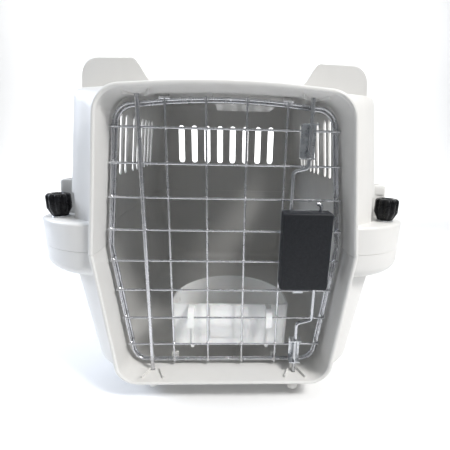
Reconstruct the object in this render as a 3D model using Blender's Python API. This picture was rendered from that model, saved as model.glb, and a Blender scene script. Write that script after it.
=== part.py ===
"""Small two-piece plastic pet kennel with a hinged wire door, a sprung latch and a clip-on bowl.

Frame: metres, +Z up, origin at the centre of the footprint on the ground.  The door faces -Y.
"""
import bpy
import bmesh
from math import acos, cos, degrees, pi, radians, sin, sqrt
from mathutils import Matrix, Vector

# ---------------------------------------------------------------- driving dimensions
LENGTH = 0.533          # rim of the doorway to the rear flange
WIDTH = 0.406           # over the bolt pods
HEIGHT = 0.381          # ground to the stacking ribs
WALL = 0.0025
GAP = 0.0003            # clearance between touching pieces
SEAM_Z = 0.181          # where the two shells meet
FLANGE_REACH = 0.007    # seam lip beyond the body, its half height and its rear corners
FLANGE_HALF = 0.0045
FLANGE_CORNER = 0.026

FRONT_Y = -LENGTH / 2
BACK_Y = LENGTH / 2
DOOR_Y = FRONT_Y + 0.030          # plane of the horizontal wires
BODY_BACK_Y = BACK_Y - 0.0045     # the rear flange stands proud of the body

# Doorway tunnel and body: (half width, height, corner radius) at the bottom, seam and top
RIM_OUTER = ((0.1225, 0.0245, 0.026), (0.1395, SEAM_Z), (0.1210, 0.3430, 0.029))
RIM_INNER = ((0.1180, 0.0285, 0.022), (0.1350, SEAM_Z), (0.1170, 0.3385, 0.025))
NECK_OUTER = ((0.1215, 0.0250, 0.026), (0.1385, SEAM_Z), (0.1200, 0.3420, 0.029))
TUNNEL_INNER = ((0.1165, 0.0285, 0.022), (0.1330, SEAM_Z), (0.1135, 0.3360, 0.023))
FRAME_OUTER = ((0.1500, 0.0300, 0.014), (0.1735, SEAM_Z), (0.1512, 0.3420, 0.009))
BODY_OUTER = ((0.1400, 0.0080, 0.032), (0.1655, SEAM_Z), (0.1460, 0.3740, 0.018))
FLARE_FRONT = ((0.1215, 0.0300, 0.020), (0.1385, SEAM_Z), (0.1180, 0.3360, 0.024))
FLARE_BACK = ((0.1420, 0.0330, 0.012), (0.1655, SEAM_Z), (0.1435, 0.3360, 0.008))
FLARE_EXIT = ((0.1320, 0.0330, 0.012), (0.1560, SEAM_Z), (0.1370, 0.3360, 0.008))
RIM_ARCH = 0.0045
ROOF_ARCH = 0.0020
ROOF_Z = BODY_OUTER[2][1]

POD_OUT = WIDTH / 2
POD_IN = 0.1385
POCKET_IN = 0.1715       # inner wall of the hollow in a pod
POD_INNER_Y = 0.1615     # end of a pod towards the middle of the kennel
POD_CENTRE = (0.137, 0.183)         # centre of the wide curve round a pod's outer end
POD_CURVE = 0.075
POD_RADIUS = 0.030
POD_TOP = 0.2118
POD_BOTTOM = 0.1465
# Underside of a pod: (rise, inset)
POD_UNDERSIDE = ((0.0, 0.026), (0.003, 0.016), (0.008, 0.007), (0.015, 0.002), (0.022, 0.0))
KNOB_X = 0.1817
KNOB_Y = 0.2215
BOLT_R = 0.0030
HEAD_R = 0.0060
COLUMN_R = 0.0100        # plastic round the bolt
KNOB_R = 0.0129
KNOB_HEIGHT = 0.0247
KNOB_FLUTE = 0.0013
WASHER = (0.0095, 0.0012)           # radius, thickness

HINGE_X = -0.087
HINGE_R = 0.0023
HINGE_Y = DOOR_Y - 0.0038
LATCH_X = 0.084
LATCH_R = 0.0021
LATCH_Y = DOOR_Y - 0.0090

WIRE_R = 0.0012
LOOP_R = 0.0016
WIRE_PITCH = 0.0351
BOTTOM_WIRE_Z = 0.0607
HORIZONTALS = 8
VERTICAL_PITCH = 0.041
VERTICAL_Y = DOOR_Y + 2 * WIRE_R + GAP
FRONT_LOOP_Y = VERTICAL_Y + WIRE_R + GAP + LOOP_R
BACK_LOOP_Y = FRONT_LOOP_Y + 2 * LOOP_R + GAP
DOOR_OUTLINE = ((0.1097, 0.0358, 0.018), (0.1275, SEAM_Z), (0.1112, 0.3290, 0.020))
DOOR_ARCH = 0.0060
WIRE_OVERHANG = 0.0022

SLOT_PITCH = 0.028
SIDE_SLOT = (0.014, 0.244, 0.329)      # width, bottom, top
BACK_SLOT = (0.013, 0.246, 0.328)
BACK_SLOTS = 8
BACK_SLOT_PITCH = 0.0295
BACK_SLOT_SHIFT = -0.0015

WELL = (-0.016, 0.076, 0.098, 0.352)      # handle well: x from, x to, half length, floor
HANDLE_Z = 0.366
HANDLE_REACH = 0.066
HANDLE_HALF = 0.090
HANDLE_GRIP = 0.021                    # width of the grip
HANDLE_ARM = 0.014                     # width of each arm
HANDLE_BACK = 0.009                    # arm ends behind the pins
HANDLE_THICK = 0.012
SKID = ((0.080, 0.108), (-0.195, 0.225), (0.0, 0.012))
ROOF_RIB = ((0.101, 0.108), (-0.120, 0.215), (ROOF_Z - 0.004, HEIGHT))

BOX_X = (0.0595, 0.1115)               # latch box
BOX_Z = (0.141, 0.226)
BOX_FRONT = DOOR_Y - 0.0240
BOX_WALL = 0.0018
PLATE_FRONT = DOOR_Y - 0.0037
PLATE_BACK = DOOR_Y - WIRE_R - GAP
UPPER_ROD_X = 0.069                    # inside the box
LOWER_ROD_X = 0.101
SPRING_X = 0.085
SPRING_SEAT = (0.182, 0.185)
UPPER_SLIDE_Z = (0.204, 0.210)
LOWER_SLIDE_Z = (0.157, 0.163)
SCREW_Z = (0.1465, 0.2205)
SCREW_R = 0.0013
SCREW_BOSS_R = 0.0030
CLAMP_THICK = 0.0015
CLAMP_HALF = 0.006                     # half width of the clamps and of the spring seat
UPPER_JOG_Z = (0.2665, 0.2700)
LOWER_JOG_Z = (0.0975, 0.0930)
LOWER_ROD_TOP = 0.2360
ROD_BEND = 0.004
SPRING_R = 0.0034
SPRING_WIRE_R = 0.0004
SPRING_TURNS = 5
UPPER_GUIDE = ((0.0750, 0.0905), 0.2790, 0.3130)      # across, bottom, top
LOWER_GUIDE = ((0.0775, 0.0905), 0.0425, 0.0720)
GUIDE_THICK = 0.0012
GUIDE_REACH = 0.0048                   # in front of the rods

BOWL_X = 0.006
BOWL_HALF = 0.071
BOWL_FRONT = DOOR_Y + 0.0130
BOWL_DEPTH = 0.100
BOWL_SHOULDER = 0.022                  # straight side before the curve
BOWL_CORNER = 0.006
BOWL_Z = (0.050, 0.107)
# Walls of the bowl outside and inside: (height, inset)
BOWL_OUTSIDE = ((BOWL_Z[0], 0.0028), (BOWL_Z[0] + 0.0015, 0.0010), (BOWL_Z[1], 0.0))
BOWL_INSIDE = ((BOWL_Z[0] + 0.0025, 0.0046), (BOWL_Z[0] + 0.0045, 0.0034), (BOWL_Z[1] + 0.003, 0.0024))
BOWL_PANEL = ((-0.018, 0.028), (0.0635, 0.1060))      # raised panel: across, upwards
HOOK_X = (-0.040, 0.052)
HOOK_HALF = 0.0035
HOOK_THICK = 0.0028
HOOK_DROP = 0.012
NUB_R = 0.0023

FRAME_ARCH = 0.0060
# Roof profile behind the collar: (distance behind the door, depth of the front scoop)
SCOOP = ((0.028, 0.022), (0.038, 0.020), (0.060, 0.013), (0.088, 0.004), (0.102, 0.0))
# Rounding of the rear end: (distance before the back wall, shrinkage)
BACK_ROUND = ((0.030, 0.0), (0.017, 0.0022), (0.007, 0.0075), (0.0, 0.017))
POST_OUT = 0.190                # tie post beside each knob
POST_IN = 0.150
POST_Y = 0.1905
POST_HALF = 0.011
POST_TOP = 0.250
POST_HOLE_X = 0.179
POST_HOLE = (0.0040, 0.016)     # radius, depth
HEAD_SEAT_Z = 0.163
HEAD_RECESS_R = 0.0070
ROD_BOSS_R = 0.0065
SOCKET_Z = 0.0075
ROD_CAP_Z = 0.3455
PIN_R = 0.0030
# Ribs of the doorway: their heights on the floor and under the ceiling
GUSSET_Z = ((0.0265, 0.0315), (0.3345, 0.3390))
GUSSET_SPREAD = (0.0055, 0.0125)       # beside the rod: at the door, at the rim
GUSSET_HALF = 0.0009
STOP_X = (0.058, 0.066)
STOP_Z = ((0.0265, 0.0405), (0.3300, 0.3410))
BOSS_ENDS = (0.0265, 0.3385)           # where the rod bosses meet the doorway's floor and ceiling
REAR_SLOTS_Y = DOOR_Y + 0.240          # first vent behind the wide rib
WIDE_RIB = 1.65                        # in vent pitches
SIDE_WIRE_Z = (0.060, 0.3135)
SCREW_HEAD_R = 0.0028
SLIDE_SIDE = 0.006                     # of a slide beyond its rod and its spring
ROD_HOLES = ((HINGE_X, HINGE_Y, HINGE_R), (LATCH_X, LATCH_Y, LATCH_R))

# ---------------------------------------------------------------- scene helpers


def clear_scene():
    """Remove every object that the file opened with."""
    for obj in list(bpy.data.objects):
        bpy.data.objects.remove(obj, do_unlink=True)


def make_material(name, colour, roughness, metallic=0.0):
    material = bpy.data.materials.new(name)
    material.use_nodes = True
    shader = material.node_tree.nodes["Principled BSDF"]
    shader.inputs["Base Color"].default_value = (*colour, 1.0)
    shader.inputs["Roughness"].default_value = roughness
    shader.inputs["Metallic"].default_value = metallic
    return material


def add_object(name, mesh, material=None, smooth=True):
    obj = bpy.data.objects.new(name, mesh)
    bpy.context.collection.objects.link(obj)
    if material:
        mesh.materials.clear()
        mesh.materials.append(material)
    if smooth:
        mesh.shade_smooth()
        mesh.set_sharp_from_angle(angle=radians(32))
    return obj


def mesh_from(bm, name):
    bmesh.ops.recalc_face_normals(bm, faces=bm.faces)
    mesh = bpy.data.meshes.new(name)
    bm.to_mesh(mesh)
    bm.free()
    return mesh


def loft(name, rings, material=None):
    """Closed solid through rings of equal point count, with flat end caps."""
    bm = bmesh.new()
    loops = [[bm.verts.new(point) for point in ring] for ring in rings]
    for near, far in zip(loops, loops[1:]):
        for i, vert in enumerate(near):
            j = (i + 1) % len(near)
            bm.faces.new((vert, near[j], far[j], far[i]))
    bm.faces.new(loops[0])
    bm.faces.new(loops[-1])
    return add_object(name, mesh_from(bm, name), material)


def box(name, low, high, material=None):
    bm = bmesh.new()
    bmesh.ops.create_cube(bm, size=1.0)
    low, high = Vector(low), Vector(high)
    for vert in bm.verts:
        vert.co = Vector(low[i] + (vert.co[i] + 0.5) * (high[i] - low[i]) for i in range(3))
    return add_object(name, mesh_from(bm, name), material)


def cylinder(name, start, end, radius, sides=16, material=None):
    start, end = Vector(start), Vector(end)
    axis = (end - start).normalized()
    side = axis.orthogonal().normalized()
    up = axis.cross(side)
    rings = []
    for centre in (start, end):
        ring = [centre + radius * (cos(2 * pi * i / sides) * side + sin(2 * pi * i / sides) * up)
                for i in range(sides)]
        rings.append(ring)
    return loft(name, rings, material)


def boolean(target, tool, operation="DIFFERENCE"):
    """Apply one exact Boolean to target and delete the tool."""
    modifier = target.modifiers.new(operation.title(), "BOOLEAN")
    modifier.operation = operation
    modifier.solver = "EXACT"
    modifier.object = tool
    graph = bpy.context.evaluated_depsgraph_get()
    mesh = bpy.data.meshes.new_from_object(target.evaluated_get(graph))
    target.modifiers.remove(modifier)
    target.data = mesh
    bpy.data.objects.remove(tool, do_unlink=True)


def tube(name, points, radius, material, sides=8, closed=False):
    """Round wire along a list of points."""
    curve = bpy.data.curves.new(name, "CURVE")
    curve.dimensions = "3D"
    curve.bevel_depth = radius
    curve.bevel_resolution = sides // 2 - 2
    curve.use_fill_caps = not closed
    spline = curve.splines.new("POLY")
    spline.points.add(len(points) - 1)
    for target, point in zip(spline.points, points):
        target.co = (*point, 1.0)
    spline.use_cyclic_u = closed
    spline.use_smooth = True
    curve.materials.append(material)
    obj = bpy.data.objects.new(name, curve)
    bpy.context.collection.objects.link(obj)
    return obj


def arc(centre, radius, start, end, steps):
    """Points of a plane arc as (u, v) pairs, angles in degrees."""
    return [(centre[0] + radius * cos(radians(start + (end - start) * i / steps)),
             centre[1] + radius * sin(radians(start + (end - start) * i / steps)))
            for i in range(steps + 1)]


def rounded(corners, steps=4):
    """Round each (u, v, radius) corner of a polygon with an arc; radius 0 keeps the point."""
    outline = []
    for i, (u, v, radius) in enumerate(corners):
        here = Vector((u, v))
        if not radius:
            outline.append((u, v))
            continue
        before = (Vector(corners[i - 1][:2]) - here).normalized()
        after = (Vector(corners[(i + 1) % len(corners)][:2]) - here).normalized()
        half = before.angle(after) / 2
        reach = radius / sin(half)
        centre = here + (before + after).normalized() * reach
        first = here + before * sqrt(reach ** 2 - radius ** 2) - centre
        last = here + after * sqrt(reach ** 2 - radius ** 2) - centre
        turn = first.angle_signed(last)
        for k in range(steps + 1):
            spin = Matrix.Rotation(-turn * k / steps, 2)
            outline.append(tuple(centre + spin @ first))
    return outline


def prism(name, outline, low, high, axis="Z", material=None):
    """Extrude a (u, v) outline along an axis: Z takes (x, y), Y takes (x, z), X takes (y, z)."""
    place = {"Z": lambda u, v, w: (u, v, w), "Y": lambda u, v, w: (u, w, v),
             "X": lambda u, v, w: (w, u, v)}[axis]
    rings = [[place(u, v, w) for u, v in outline] for w in (low, high)]
    return loft(name, rings, material)


# ---------------------------------------------------------------- shells

TOP_FRACTIONS = (0.755, 0.60, 0.40, 0.0)   # shares of the flat roof; the first two bound the scoop
SCOOP_WALL = 0.0018                       # how far the cabin's scoop stands inside the skin's


def shell_ring(y, section, arch, inset=0.0, dip=0.0, widen=0.0):
    """Cross-section of the kennel at y: rounded corners, widest at the seam, arched roof.

    inset shrinks the section on all sides; dip lowers the middle of the roof, and widen moves
    the sides of that dip outwards.
    """
    (foot_x, foot_z, foot_r), (seam_x, seam_z), (top_x, top_z, top_r) = section
    foot_x, foot_z = foot_x - inset, foot_z + inset
    seam_x = seam_x - inset
    top_x, top_z = top_x - inset, top_z - inset
    half = [(foot_x, foot_z, foot_r), (seam_x, seam_z, 0), (top_x, top_z, top_r)]
    mirrored = [(-x, z, r) for x, z, r in reversed(half)]
    outline = rounded(half + mirrored, steps=5)
    right, left = outline[:len(outline) // 2], outline[len(outline) // 2:]
    flat = top_x - top_r
    roof = []
    for share in TOP_FRACTIONS + tuple(-f for f in reversed(TOP_FRACTIONS[:-1])):
        sunk = dip if abs(share) <= TOP_FRACTIONS[1] else 0.0
        x = share * flat
        if abs(share) >= TOP_FRACTIONS[1]:
            x += widen if share > 0 else -widen
        roof.append((x, top_z + arch * (1 - share ** 2) - sunk))
    return [(x, y, z) for x, z in right + roof + left]


def crossing(ring, value, along, across):
    """Largest coordinate 'across' where a closed ring passes 'value' on axis 'along'."""
    best = None
    for here, after in zip(ring, ring[1:] + ring[:1]):
        low, high = sorted((here[along], after[along]))
        if low <= value <= high and high > low:
            share = (value - here[along]) / (after[along] - here[along])
            found = here[across] + share * (after[across] - here[across])
            best = found if best is None else max(best, found)
    return best


def outer_skin():
    """Doorway collar flaring into the body, as one solid block."""
    frame = loft("outer_skin", [
        shell_ring(FRONT_Y, RIM_OUTER, RIM_ARCH, inset=0.0012),
        shell_ring(FRONT_Y + 0.0012, RIM_OUTER, RIM_ARCH),
        shell_ring(FRONT_Y + 0.0040, RIM_OUTER, RIM_ARCH),
        shell_ring(FRONT_Y + 0.0050, NECK_OUTER, RIM_ARCH),
        shell_ring(FRONT_Y + 0.0145, NECK_OUTER, RIM_ARCH),
        shell_ring(DOOR_Y + 0.0120, FRAME_OUTER, FRAME_ARCH),
        shell_ring(DOOR_Y + 0.0165, FRAME_OUTER, FRAME_ARCH),
    ])
    rings = [shell_ring(DOOR_Y + 0.0155, BODY_OUTER, ROOF_ARCH, inset=0.004, dip=SCOOP[0][1])]
    rings += body_rings(BODY_OUTER, BODY_BACK_Y)
    boolean(frame, loft("body", rings), "UNION")
    return frame


def body_rings(section, back_y, widen=0.0):
    """Rings of the body from behind the collar to the back wall, shared by skin and cabin."""
    rings = [shell_ring(DOOR_Y + dy, section, ROOF_ARCH, dip=dip, widen=widen) for dy, dip in SCOOP]
    for back, inset in BACK_ROUND:
        rings.append(shell_ring(back_y - back, section, ROOF_ARCH, inset=inset, widen=widen))
    return rings


def grown(section, by):
    """A section moved inwards by a wall thickness."""
    (foot_x, foot_z, foot_r), (seam_x, seam_z), (top_x, top_z, top_r) = section
    return ((foot_x - by, foot_z + by, foot_r - by), (seam_x - by, seam_z),
            (top_x - by, top_z - by, top_r - by))


def cabin_tool():
    """Space inside the walls: the hollow behind the flare, then the cabin."""
    inner = grown(BODY_OUTER, WALL)
    step_y = DOOR_Y + 0.0185
    rings = [shell_ring(FRONT_Y + 0.0190, FLARE_FRONT, RIM_ARCH),
             shell_ring(DOOR_Y + 0.0110, FLARE_BACK, RIM_ARCH),
             shell_ring(DOOR_Y + 0.0150, FLARE_EXIT, RIM_ARCH),
             shell_ring(step_y - 0.0015, FLARE_EXIT, RIM_ARCH),
             shell_ring(step_y, inner, ROOF_ARCH, inset=0.0032, dip=SCOOP[0][1], widen=SCOOP_WALL)]
    return loft("cabin", rings + body_rings(inner, BODY_BACK_Y - WALL, SCOOP_WALL))


def tunnel_wall():
    """Block that the doorway tunnel is cut from, standing free of the flare at the sides."""
    return loft("tunnel_wall", [shell_ring(y, TUNNEL_INNER, RIM_ARCH, inset=-WALL)
                                for y in (FRONT_Y + 0.0060, DOOR_Y + 0.0170)])


def tunnel_tool():
    """Doorway, a little wider at its rim."""
    return loft("tunnel", [
        shell_ring(FRONT_Y - 0.004, RIM_INNER, RIM_ARCH),
        shell_ring(FRONT_Y + 0.0005, RIM_INNER, RIM_ARCH),
        shell_ring(DOOR_Y - 0.0120, TUNNEL_INNER, RIM_ARCH),
        shell_ring(DOOR_Y + 0.0195, TUNNEL_INNER, RIM_ARCH),
    ])


def pod_outline(side, end, inset=0.0, inner=POD_IN):
    """Plan of one bolt pod: square against the body, a wide curve round its outer end."""
    out, curve = POD_OUT - inset, POD_CURVE - inset
    start, stop = (degrees(acos((x - POD_CENTRE[0]) / curve)) for x in (out, inner))
    curved = arc(POD_CENTRE, curve, start, stop, 7)
    low = POD_INNER_Y + inset
    outline = rounded([(inner, low, 0), (out, low, POD_RADIUS - inset), (*curved[0], 0)], steps=5)
    return [(side * x, end * y) for x, y in outline[:-1] + curved]


def pod_solid(side, end):
    """One pod, both halves, with a rounded underside and a small top edge."""
    steps = [(POD_BOTTOM + rise, inset) for rise, inset in POD_UNDERSIDE]
    steps += [(POD_TOP - 0.003, 0.0), (POD_TOP, 0.0025)]
    return loft("pod", [[(x, y, z) for x, y in pod_outline(side, end, inset)] for z, inset in steps])


def pod_pocket(side, end):
    """Hollow inside a pod, leaving a column round the bolt."""
    outline = pod_outline(side, end, WALL, POCKET_IN)
    pocket = prism("pod_pocket", outline, POD_BOTTOM + POD_UNDERSIDE[-1][0], POD_TOP - WALL)
    column = cylinder("column", (side * KNOB_X, end * KNOB_Y, POD_BOTTOM),
                      (side * KNOB_X, end * KNOB_Y, POD_TOP), COLUMN_R, 12)
    boolean(pocket, column)
    return pocket


def corners_of():
    """Side and end signs of the four bolt pods."""
    return [(side, end) for end in (-1, 1) for side in (-1, 1)]


def slot_tool(centre, axis, slot, depth):
    """Round-ended upright vent (width, bottom, top), cut along an axis."""
    width, low, high = slot
    radius = width / 2
    outline = (arc((centre, high - radius), radius, 0, 180, 5)
               + arc((centre, low + radius), radius, 180, 360, 5))
    return prism("slot", outline, *depth, axis=axis)


def side_slot_centres():
    """Two groups of vents along the side, with a wide rib between them."""
    last_front = REAR_SLOTS_Y - WIDE_RIB * SLOT_PITCH
    return ([last_front - i * SLOT_PITCH for i in range(5)]
            + [REAR_SLOTS_Y + i * SLOT_PITCH for i in range(6)])


def seam_flange():
    """Lip round the sides and back where the shells meet."""
    half = BODY_OUTER[1][0] + FLANGE_REACH
    corners = [(-half, DOOR_Y + 0.014, 0), (half, DOOR_Y + 0.014, 0),
               (half, BACK_Y, FLANGE_CORNER), (-half, BACK_Y, FLANGE_CORNER)]
    return prism("flange", rounded(corners), SEAM_Z - FLANGE_HALF, SEAM_Z + FLANGE_HALF)


def add_pods(shell):
    """Bolt pods and the tie post beside each."""
    for side, end in corners_of():
        boolean(shell, pod_solid(side, end), "UNION")
        boolean(shell, span_box("post", (side * POST_IN, side * POST_OUT),
                                (end * (POST_Y - POST_HALF), end * (POST_Y + POST_HALF)),
                                (POD_TOP - 0.004, POST_TOP)), "UNION")


def cut_pods(shell):
    """Hollows of the pods, bolt holes with their head recesses, and the holes in the tie posts."""
    for side, end in corners_of():
        x, y = side * KNOB_X, end * KNOB_Y
        boolean(shell, pod_pocket(side, end))
        boolean(shell, cylinder("bolt_hole", (x, y, POD_BOTTOM - 0.01), (x, y, POD_TOP + 0.01),
                                BOLT_R + GAP, 12))
        boolean(shell, cylinder("counterbore", (x, y, POD_BOTTOM - 0.01), (x, y, HEAD_SEAT_Z),
                                HEAD_RECESS_R, 16))
        boolean(shell, cylinder("tie_hole", (side * POST_HOLE_X, end * POST_Y, POST_TOP - POST_HOLE[1]),
                                (side * POST_HOLE_X, end * POST_Y, POST_TOP + 0.01), POST_HOLE[0], 10))


def add_rod_bosses(shell):
    """Bosses under the floor and over the ceiling of the doorway for the rod ends."""
    for x, y, _ in ROD_HOLES:
        boolean(shell, cylinder("socket", (x, y, SOCKET_Z), (x, y, BOSS_ENDS[0]), ROD_BOSS_R, 12), "UNION")
        boolean(shell, cylinder("cap", (x, y, BOSS_ENDS[1]), (x, y, ROD_CAP_Z), ROD_BOSS_R, 12), "UNION")


def add_doorway_ribs(shell):
    """V-shaped rod guides and door stops on the doorway's floor and ceiling."""
    for side in (-1, 1):
        for spread in (-1, 1):
            near, far = GUSSET_SPREAD
            start = Vector((side * LATCH_X + spread * near, DOOR_Y - 0.005))
            end = Vector((side * LATCH_X + spread * far, FRONT_Y + 0.008))
            across = (end - start).orthogonal().normalized() * GUSSET_HALF
            outline = [tuple(p) for p in (start - across, end - across, end + across, start + across)]
            for low, high in GUSSET_Z:
                boolean(shell, prism("gusset", outline, low, high), "UNION")
        stop_y = (BACK_LOOP_Y + LOOP_R + GAP, DOOR_Y + 0.0170)
        for height in STOP_Z:
            boolean(shell, span_box("stop", [side * x for x in STOP_X], stop_y, height), "UNION")


def cut_vents(shell):
    for y in side_slot_centres():
        boolean(shell, slot_tool(y, "X", SIDE_SLOT, (-0.20, 0.20)))
    for i in range(BACK_SLOTS):
        x = (i - (BACK_SLOTS - 1) / 2) * BACK_SLOT_PITCH + BACK_SLOT_SHIFT
        boolean(shell, slot_tool(x, "Y", BACK_SLOT, (0.22, 0.30)))


def handle_well(shell):
    """Recess in the roof that the folded handle lies in, with pin holes in its end walls."""
    x0, x1, half, floor = WELL
    boolean(shell, span_box("well", (x0 - WALL, x1 + WALL), (-half - WALL, half + WALL),
                            (floor - WALL, ROOF_Z - 0.001)), "UNION")
    boolean(shell, span_box("well_hollow", (x0, x1), (-half, half), (floor, HEIGHT + 0.01)))
    boolean(shell, cylinder("pin_holes", (0, -half - 0.01, HANDLE_Z), (0, half + 0.01, HANDLE_Z),
                            PIN_R + GAP, 12))


def build_shells(material):
    """Both shells: one block, hollowed, detailed and then parted at the seam."""
    whole = outer_skin()
    boolean(whole, seam_flange(), "UNION")
    add_pods(whole)
    for side in (-1, 1):
        for across, along, upwards in (SKID, ROOF_RIB):
            boolean(whole, span_box("rail", [side * x for x in across], along, upwards), "UNION")
    boolean(whole, cabin_tool())
    add_rod_bosses(whole)
    boolean(whole, tunnel_wall(), "UNION")
    boolean(whole, tunnel_tool())
    add_doorway_ribs(whole)
    handle_well(whole)
    cut_pods(whole)
    cut_vents(whole)
    for x, y, radius in ROD_HOLES:
        boolean(whole, cylinder("rod_hole", (x, y, SOCKET_Z + 0.003), (x, y, 0.035), radius + GAP, 12))
        boolean(whole, cylinder("rod_hole", (x, y, 0.330), (x, y, ROD_CAP_Z - 0.002), radius + GAP, 12))
    for name, low, high in (("lower_shell", -0.05, SEAM_Z - GAP / 2),
                            ("upper_shell", SEAM_Z + GAP / 2, HEIGHT + 0.05)):
        shell = add_object(name, whole.data.copy(), material)
        boolean(shell, span_box("half", (-0.4, 0.4), (-0.4, 0.4), (low, high)), "INTERSECT")
        finish_mesh(shell, material)
    bpy.data.objects.remove(whole, do_unlink=True)


# ---------------------------------------------------------------- fasteners and handle


def turned(name, profile, place, material, sides=16, flutes=0, closed=True):
    """Solid of revolution about a vertical axis from (radius, z, flute depth) points.

    closed joins the last point to the first, for a piece with a through bore.
    """
    x0, y0 = place
    rings = []
    for radius, z, depth in profile:
        ring = []
        for i in range(sides):
            angle = 2 * pi * i / sides
            reach = radius - depth * (0.5 - 0.5 * cos(flutes * angle))
            ring.append((x0 + reach * cos(angle), y0 + reach * sin(angle), z))
        rings.append(ring)
    if not closed:
        return loft(name, rings, material)
    bm = bmesh.new()
    loops = [[bm.verts.new(p) for p in ring] for ring in rings]
    for near, far in zip(loops, loops[1:] + loops[:1]):
        for i in range(sides):
            j = (i + 1) % sides
            bm.faces.new((near[i], near[j], far[j], far[i]))
    return add_object(name, mesh_from(bm, name), material)


def build_fastener(tag, side, end, plastic, steel):
    """Bolt, washer and thumb knob of one pod."""
    place = (side * KNOB_X, end * KNOB_Y)
    head_top, shaft_top = HEAD_SEAT_Z - GAP, POD_TOP + KNOB_HEIGHT - 0.003
    turned("bolt_" + tag, [(HEAD_R - 0.0015, head_top - 0.004, 0), (HEAD_R, head_top - 0.003, 0),
                           (HEAD_R, head_top, 0), (BOLT_R, head_top, 0), (BOLT_R, shaft_top, 0)],
           place, steel, sides=12, closed=False)
    bore = BOLT_R + GAP
    washer_r, washer_thick = WASHER
    low = POD_TOP + GAP
    high = low + washer_thick
    turned("washer_" + tag, [(washer_r, low, 0), (washer_r, high, 0), (bore, high, 0), (bore, low, 0)],
           place, steel)
    low = high + GAP
    top = low + KNOB_HEIGHT - 0.001
    profile = [(bore, low, 0), (KNOB_R - 0.0045, low, 0), (KNOB_R, low + 0.0080, KNOB_FLUTE),
               (KNOB_R, top - 0.0025, KNOB_FLUTE), (KNOB_R - 0.0012, top - 0.0008, KNOB_FLUTE),
               (KNOB_R - 0.0040, top, 0), (bore + 0.0015, top - 0.001, 0), (bore, top - 0.0025, 0)]
    turned("knob_" + tag, profile, place, plastic, sides=40, flutes=10)


def build_handle(plastic, steel):
    """Folding bail that lies in the roof well, with its two pins."""
    inner_x, arm = HANDLE_REACH - HANDLE_GRIP, HANDLE_HALF - HANDLE_ARM
    corners = [(-HANDLE_BACK, -HANDLE_HALF, 0.006), (HANDLE_REACH, -HANDLE_HALF, 0.018),
               (HANDLE_REACH, HANDLE_HALF, 0.018), (-HANDLE_BACK, HANDLE_HALF, 0.006),
               (-HANDLE_BACK, arm, 0.006), (inner_x, arm, 0.006), (inner_x, -arm, 0.006),
               (-HANDLE_BACK, -arm, 0.006)]
    handle = prism("carry_handle", rounded(corners, steps=3), HANDLE_Z - HANDLE_THICK / 2,
                   HANDLE_Z + HANDLE_THICK / 2, material=plastic)
    for end in (-1, 1):
        boolean(handle, cylinder("pin_bore", (0, end * (arm - 0.005), HANDLE_Z),
                                 (0, end * (HANDLE_HALF + 0.005), HANDLE_Z), PIN_R + GAP, 12))
        name = "handle_pin_" + ("front" if end < 0 else "rear")
        cylinder(name, (0, end * (arm - 0.0015), HANDLE_Z), (0, end * (WELL[2] + 0.0055), HANDLE_Z),
                 PIN_R, 12, steel)
    finish_mesh(handle, plastic)
    move_origin(handle, (0, 0, HANDLE_Z))


# ---------------------------------------------------------------- door


def door_loop(inset_side=0.0, inset_top=0.0):
    """Perimeter of the door at its wire centre, as (x, z) points."""
    foot, (seam_x, seam_z), (top_x, top_z, top_r) = DOOR_OUTLINE
    section = ((foot[0] - inset_side, foot[1], foot[2]), (seam_x - inset_side, seam_z),
               (top_x - inset_side, top_z - inset_top, top_r))
    return [(x, z) for x, _, z in shell_ring(0.0, section, DOOR_ARCH)]


def build_grid(steel):
    """Welded wire panel: two perimeter loops behind a grid of thin wires."""
    outline = door_loop()
    tube("front_loop", [(x, FRONT_LOOP_Y, z) for x, z in outline], LOOP_R, steel, closed=True)
    tube("back_loop", [(x, BACK_LOOP_Y, z) for x, z in door_loop(0.0015, 0.0024)], LOOP_R, steel,
         closed=True)
    for i in range(HORIZONTALS):
        z = BOTTOM_WIRE_Z + i * WIRE_PITCH
        half = crossing(outline, z, 1, 0) + WIRE_OVERHANG
        tube("horizontal_wire_%d" % (i + 1), [(-half, DOOR_Y, z), (half, DOOR_Y, z)], WIRE_R, steel)
    low = DOOR_OUTLINE[0][1] - WIRE_OVERHANG
    for i in range(4):
        x = (i - 1.5) * VERTICAL_PITCH
        high = crossing(outline, x, 0, 1) + WIRE_OVERHANG
        tube("vertical_wire_%d" % (i + 1), [(x, VERTICAL_Y, low), (x, VERTICAL_Y, high)], WIRE_R, steel)
    for name, side in (("side_wire_left", -1), ("side_wire_right", 1)):
        path = [(side * (crossing(outline, z, 1, 0) + 0.0002), VERTICAL_Y, z)
                for z in (SIDE_WIRE_Z[0], SEAM_Z, SIDE_WIRE_Z[1])]
        tube(name, path, WIRE_R, steel)
    tube("hinge_rod", [(HINGE_X, HINGE_Y, SOCKET_Z + 0.004), (HINGE_X, HINGE_Y, ROD_CAP_Z - 0.0035)],
         HINGE_R, steel, sides=12)


def bent(points, radius, steps=4):
    """Open (x, z) path with its inner corners rounded."""
    path = [points[0]]
    for i in range(1, len(points) - 1):
        corner = rounded([points[i - 1] + (0,), points[i] + (radius,), points[i + 1] + (0,)], steps)
        path += corner[1:-1]
    return path + [points[-1]]


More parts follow.
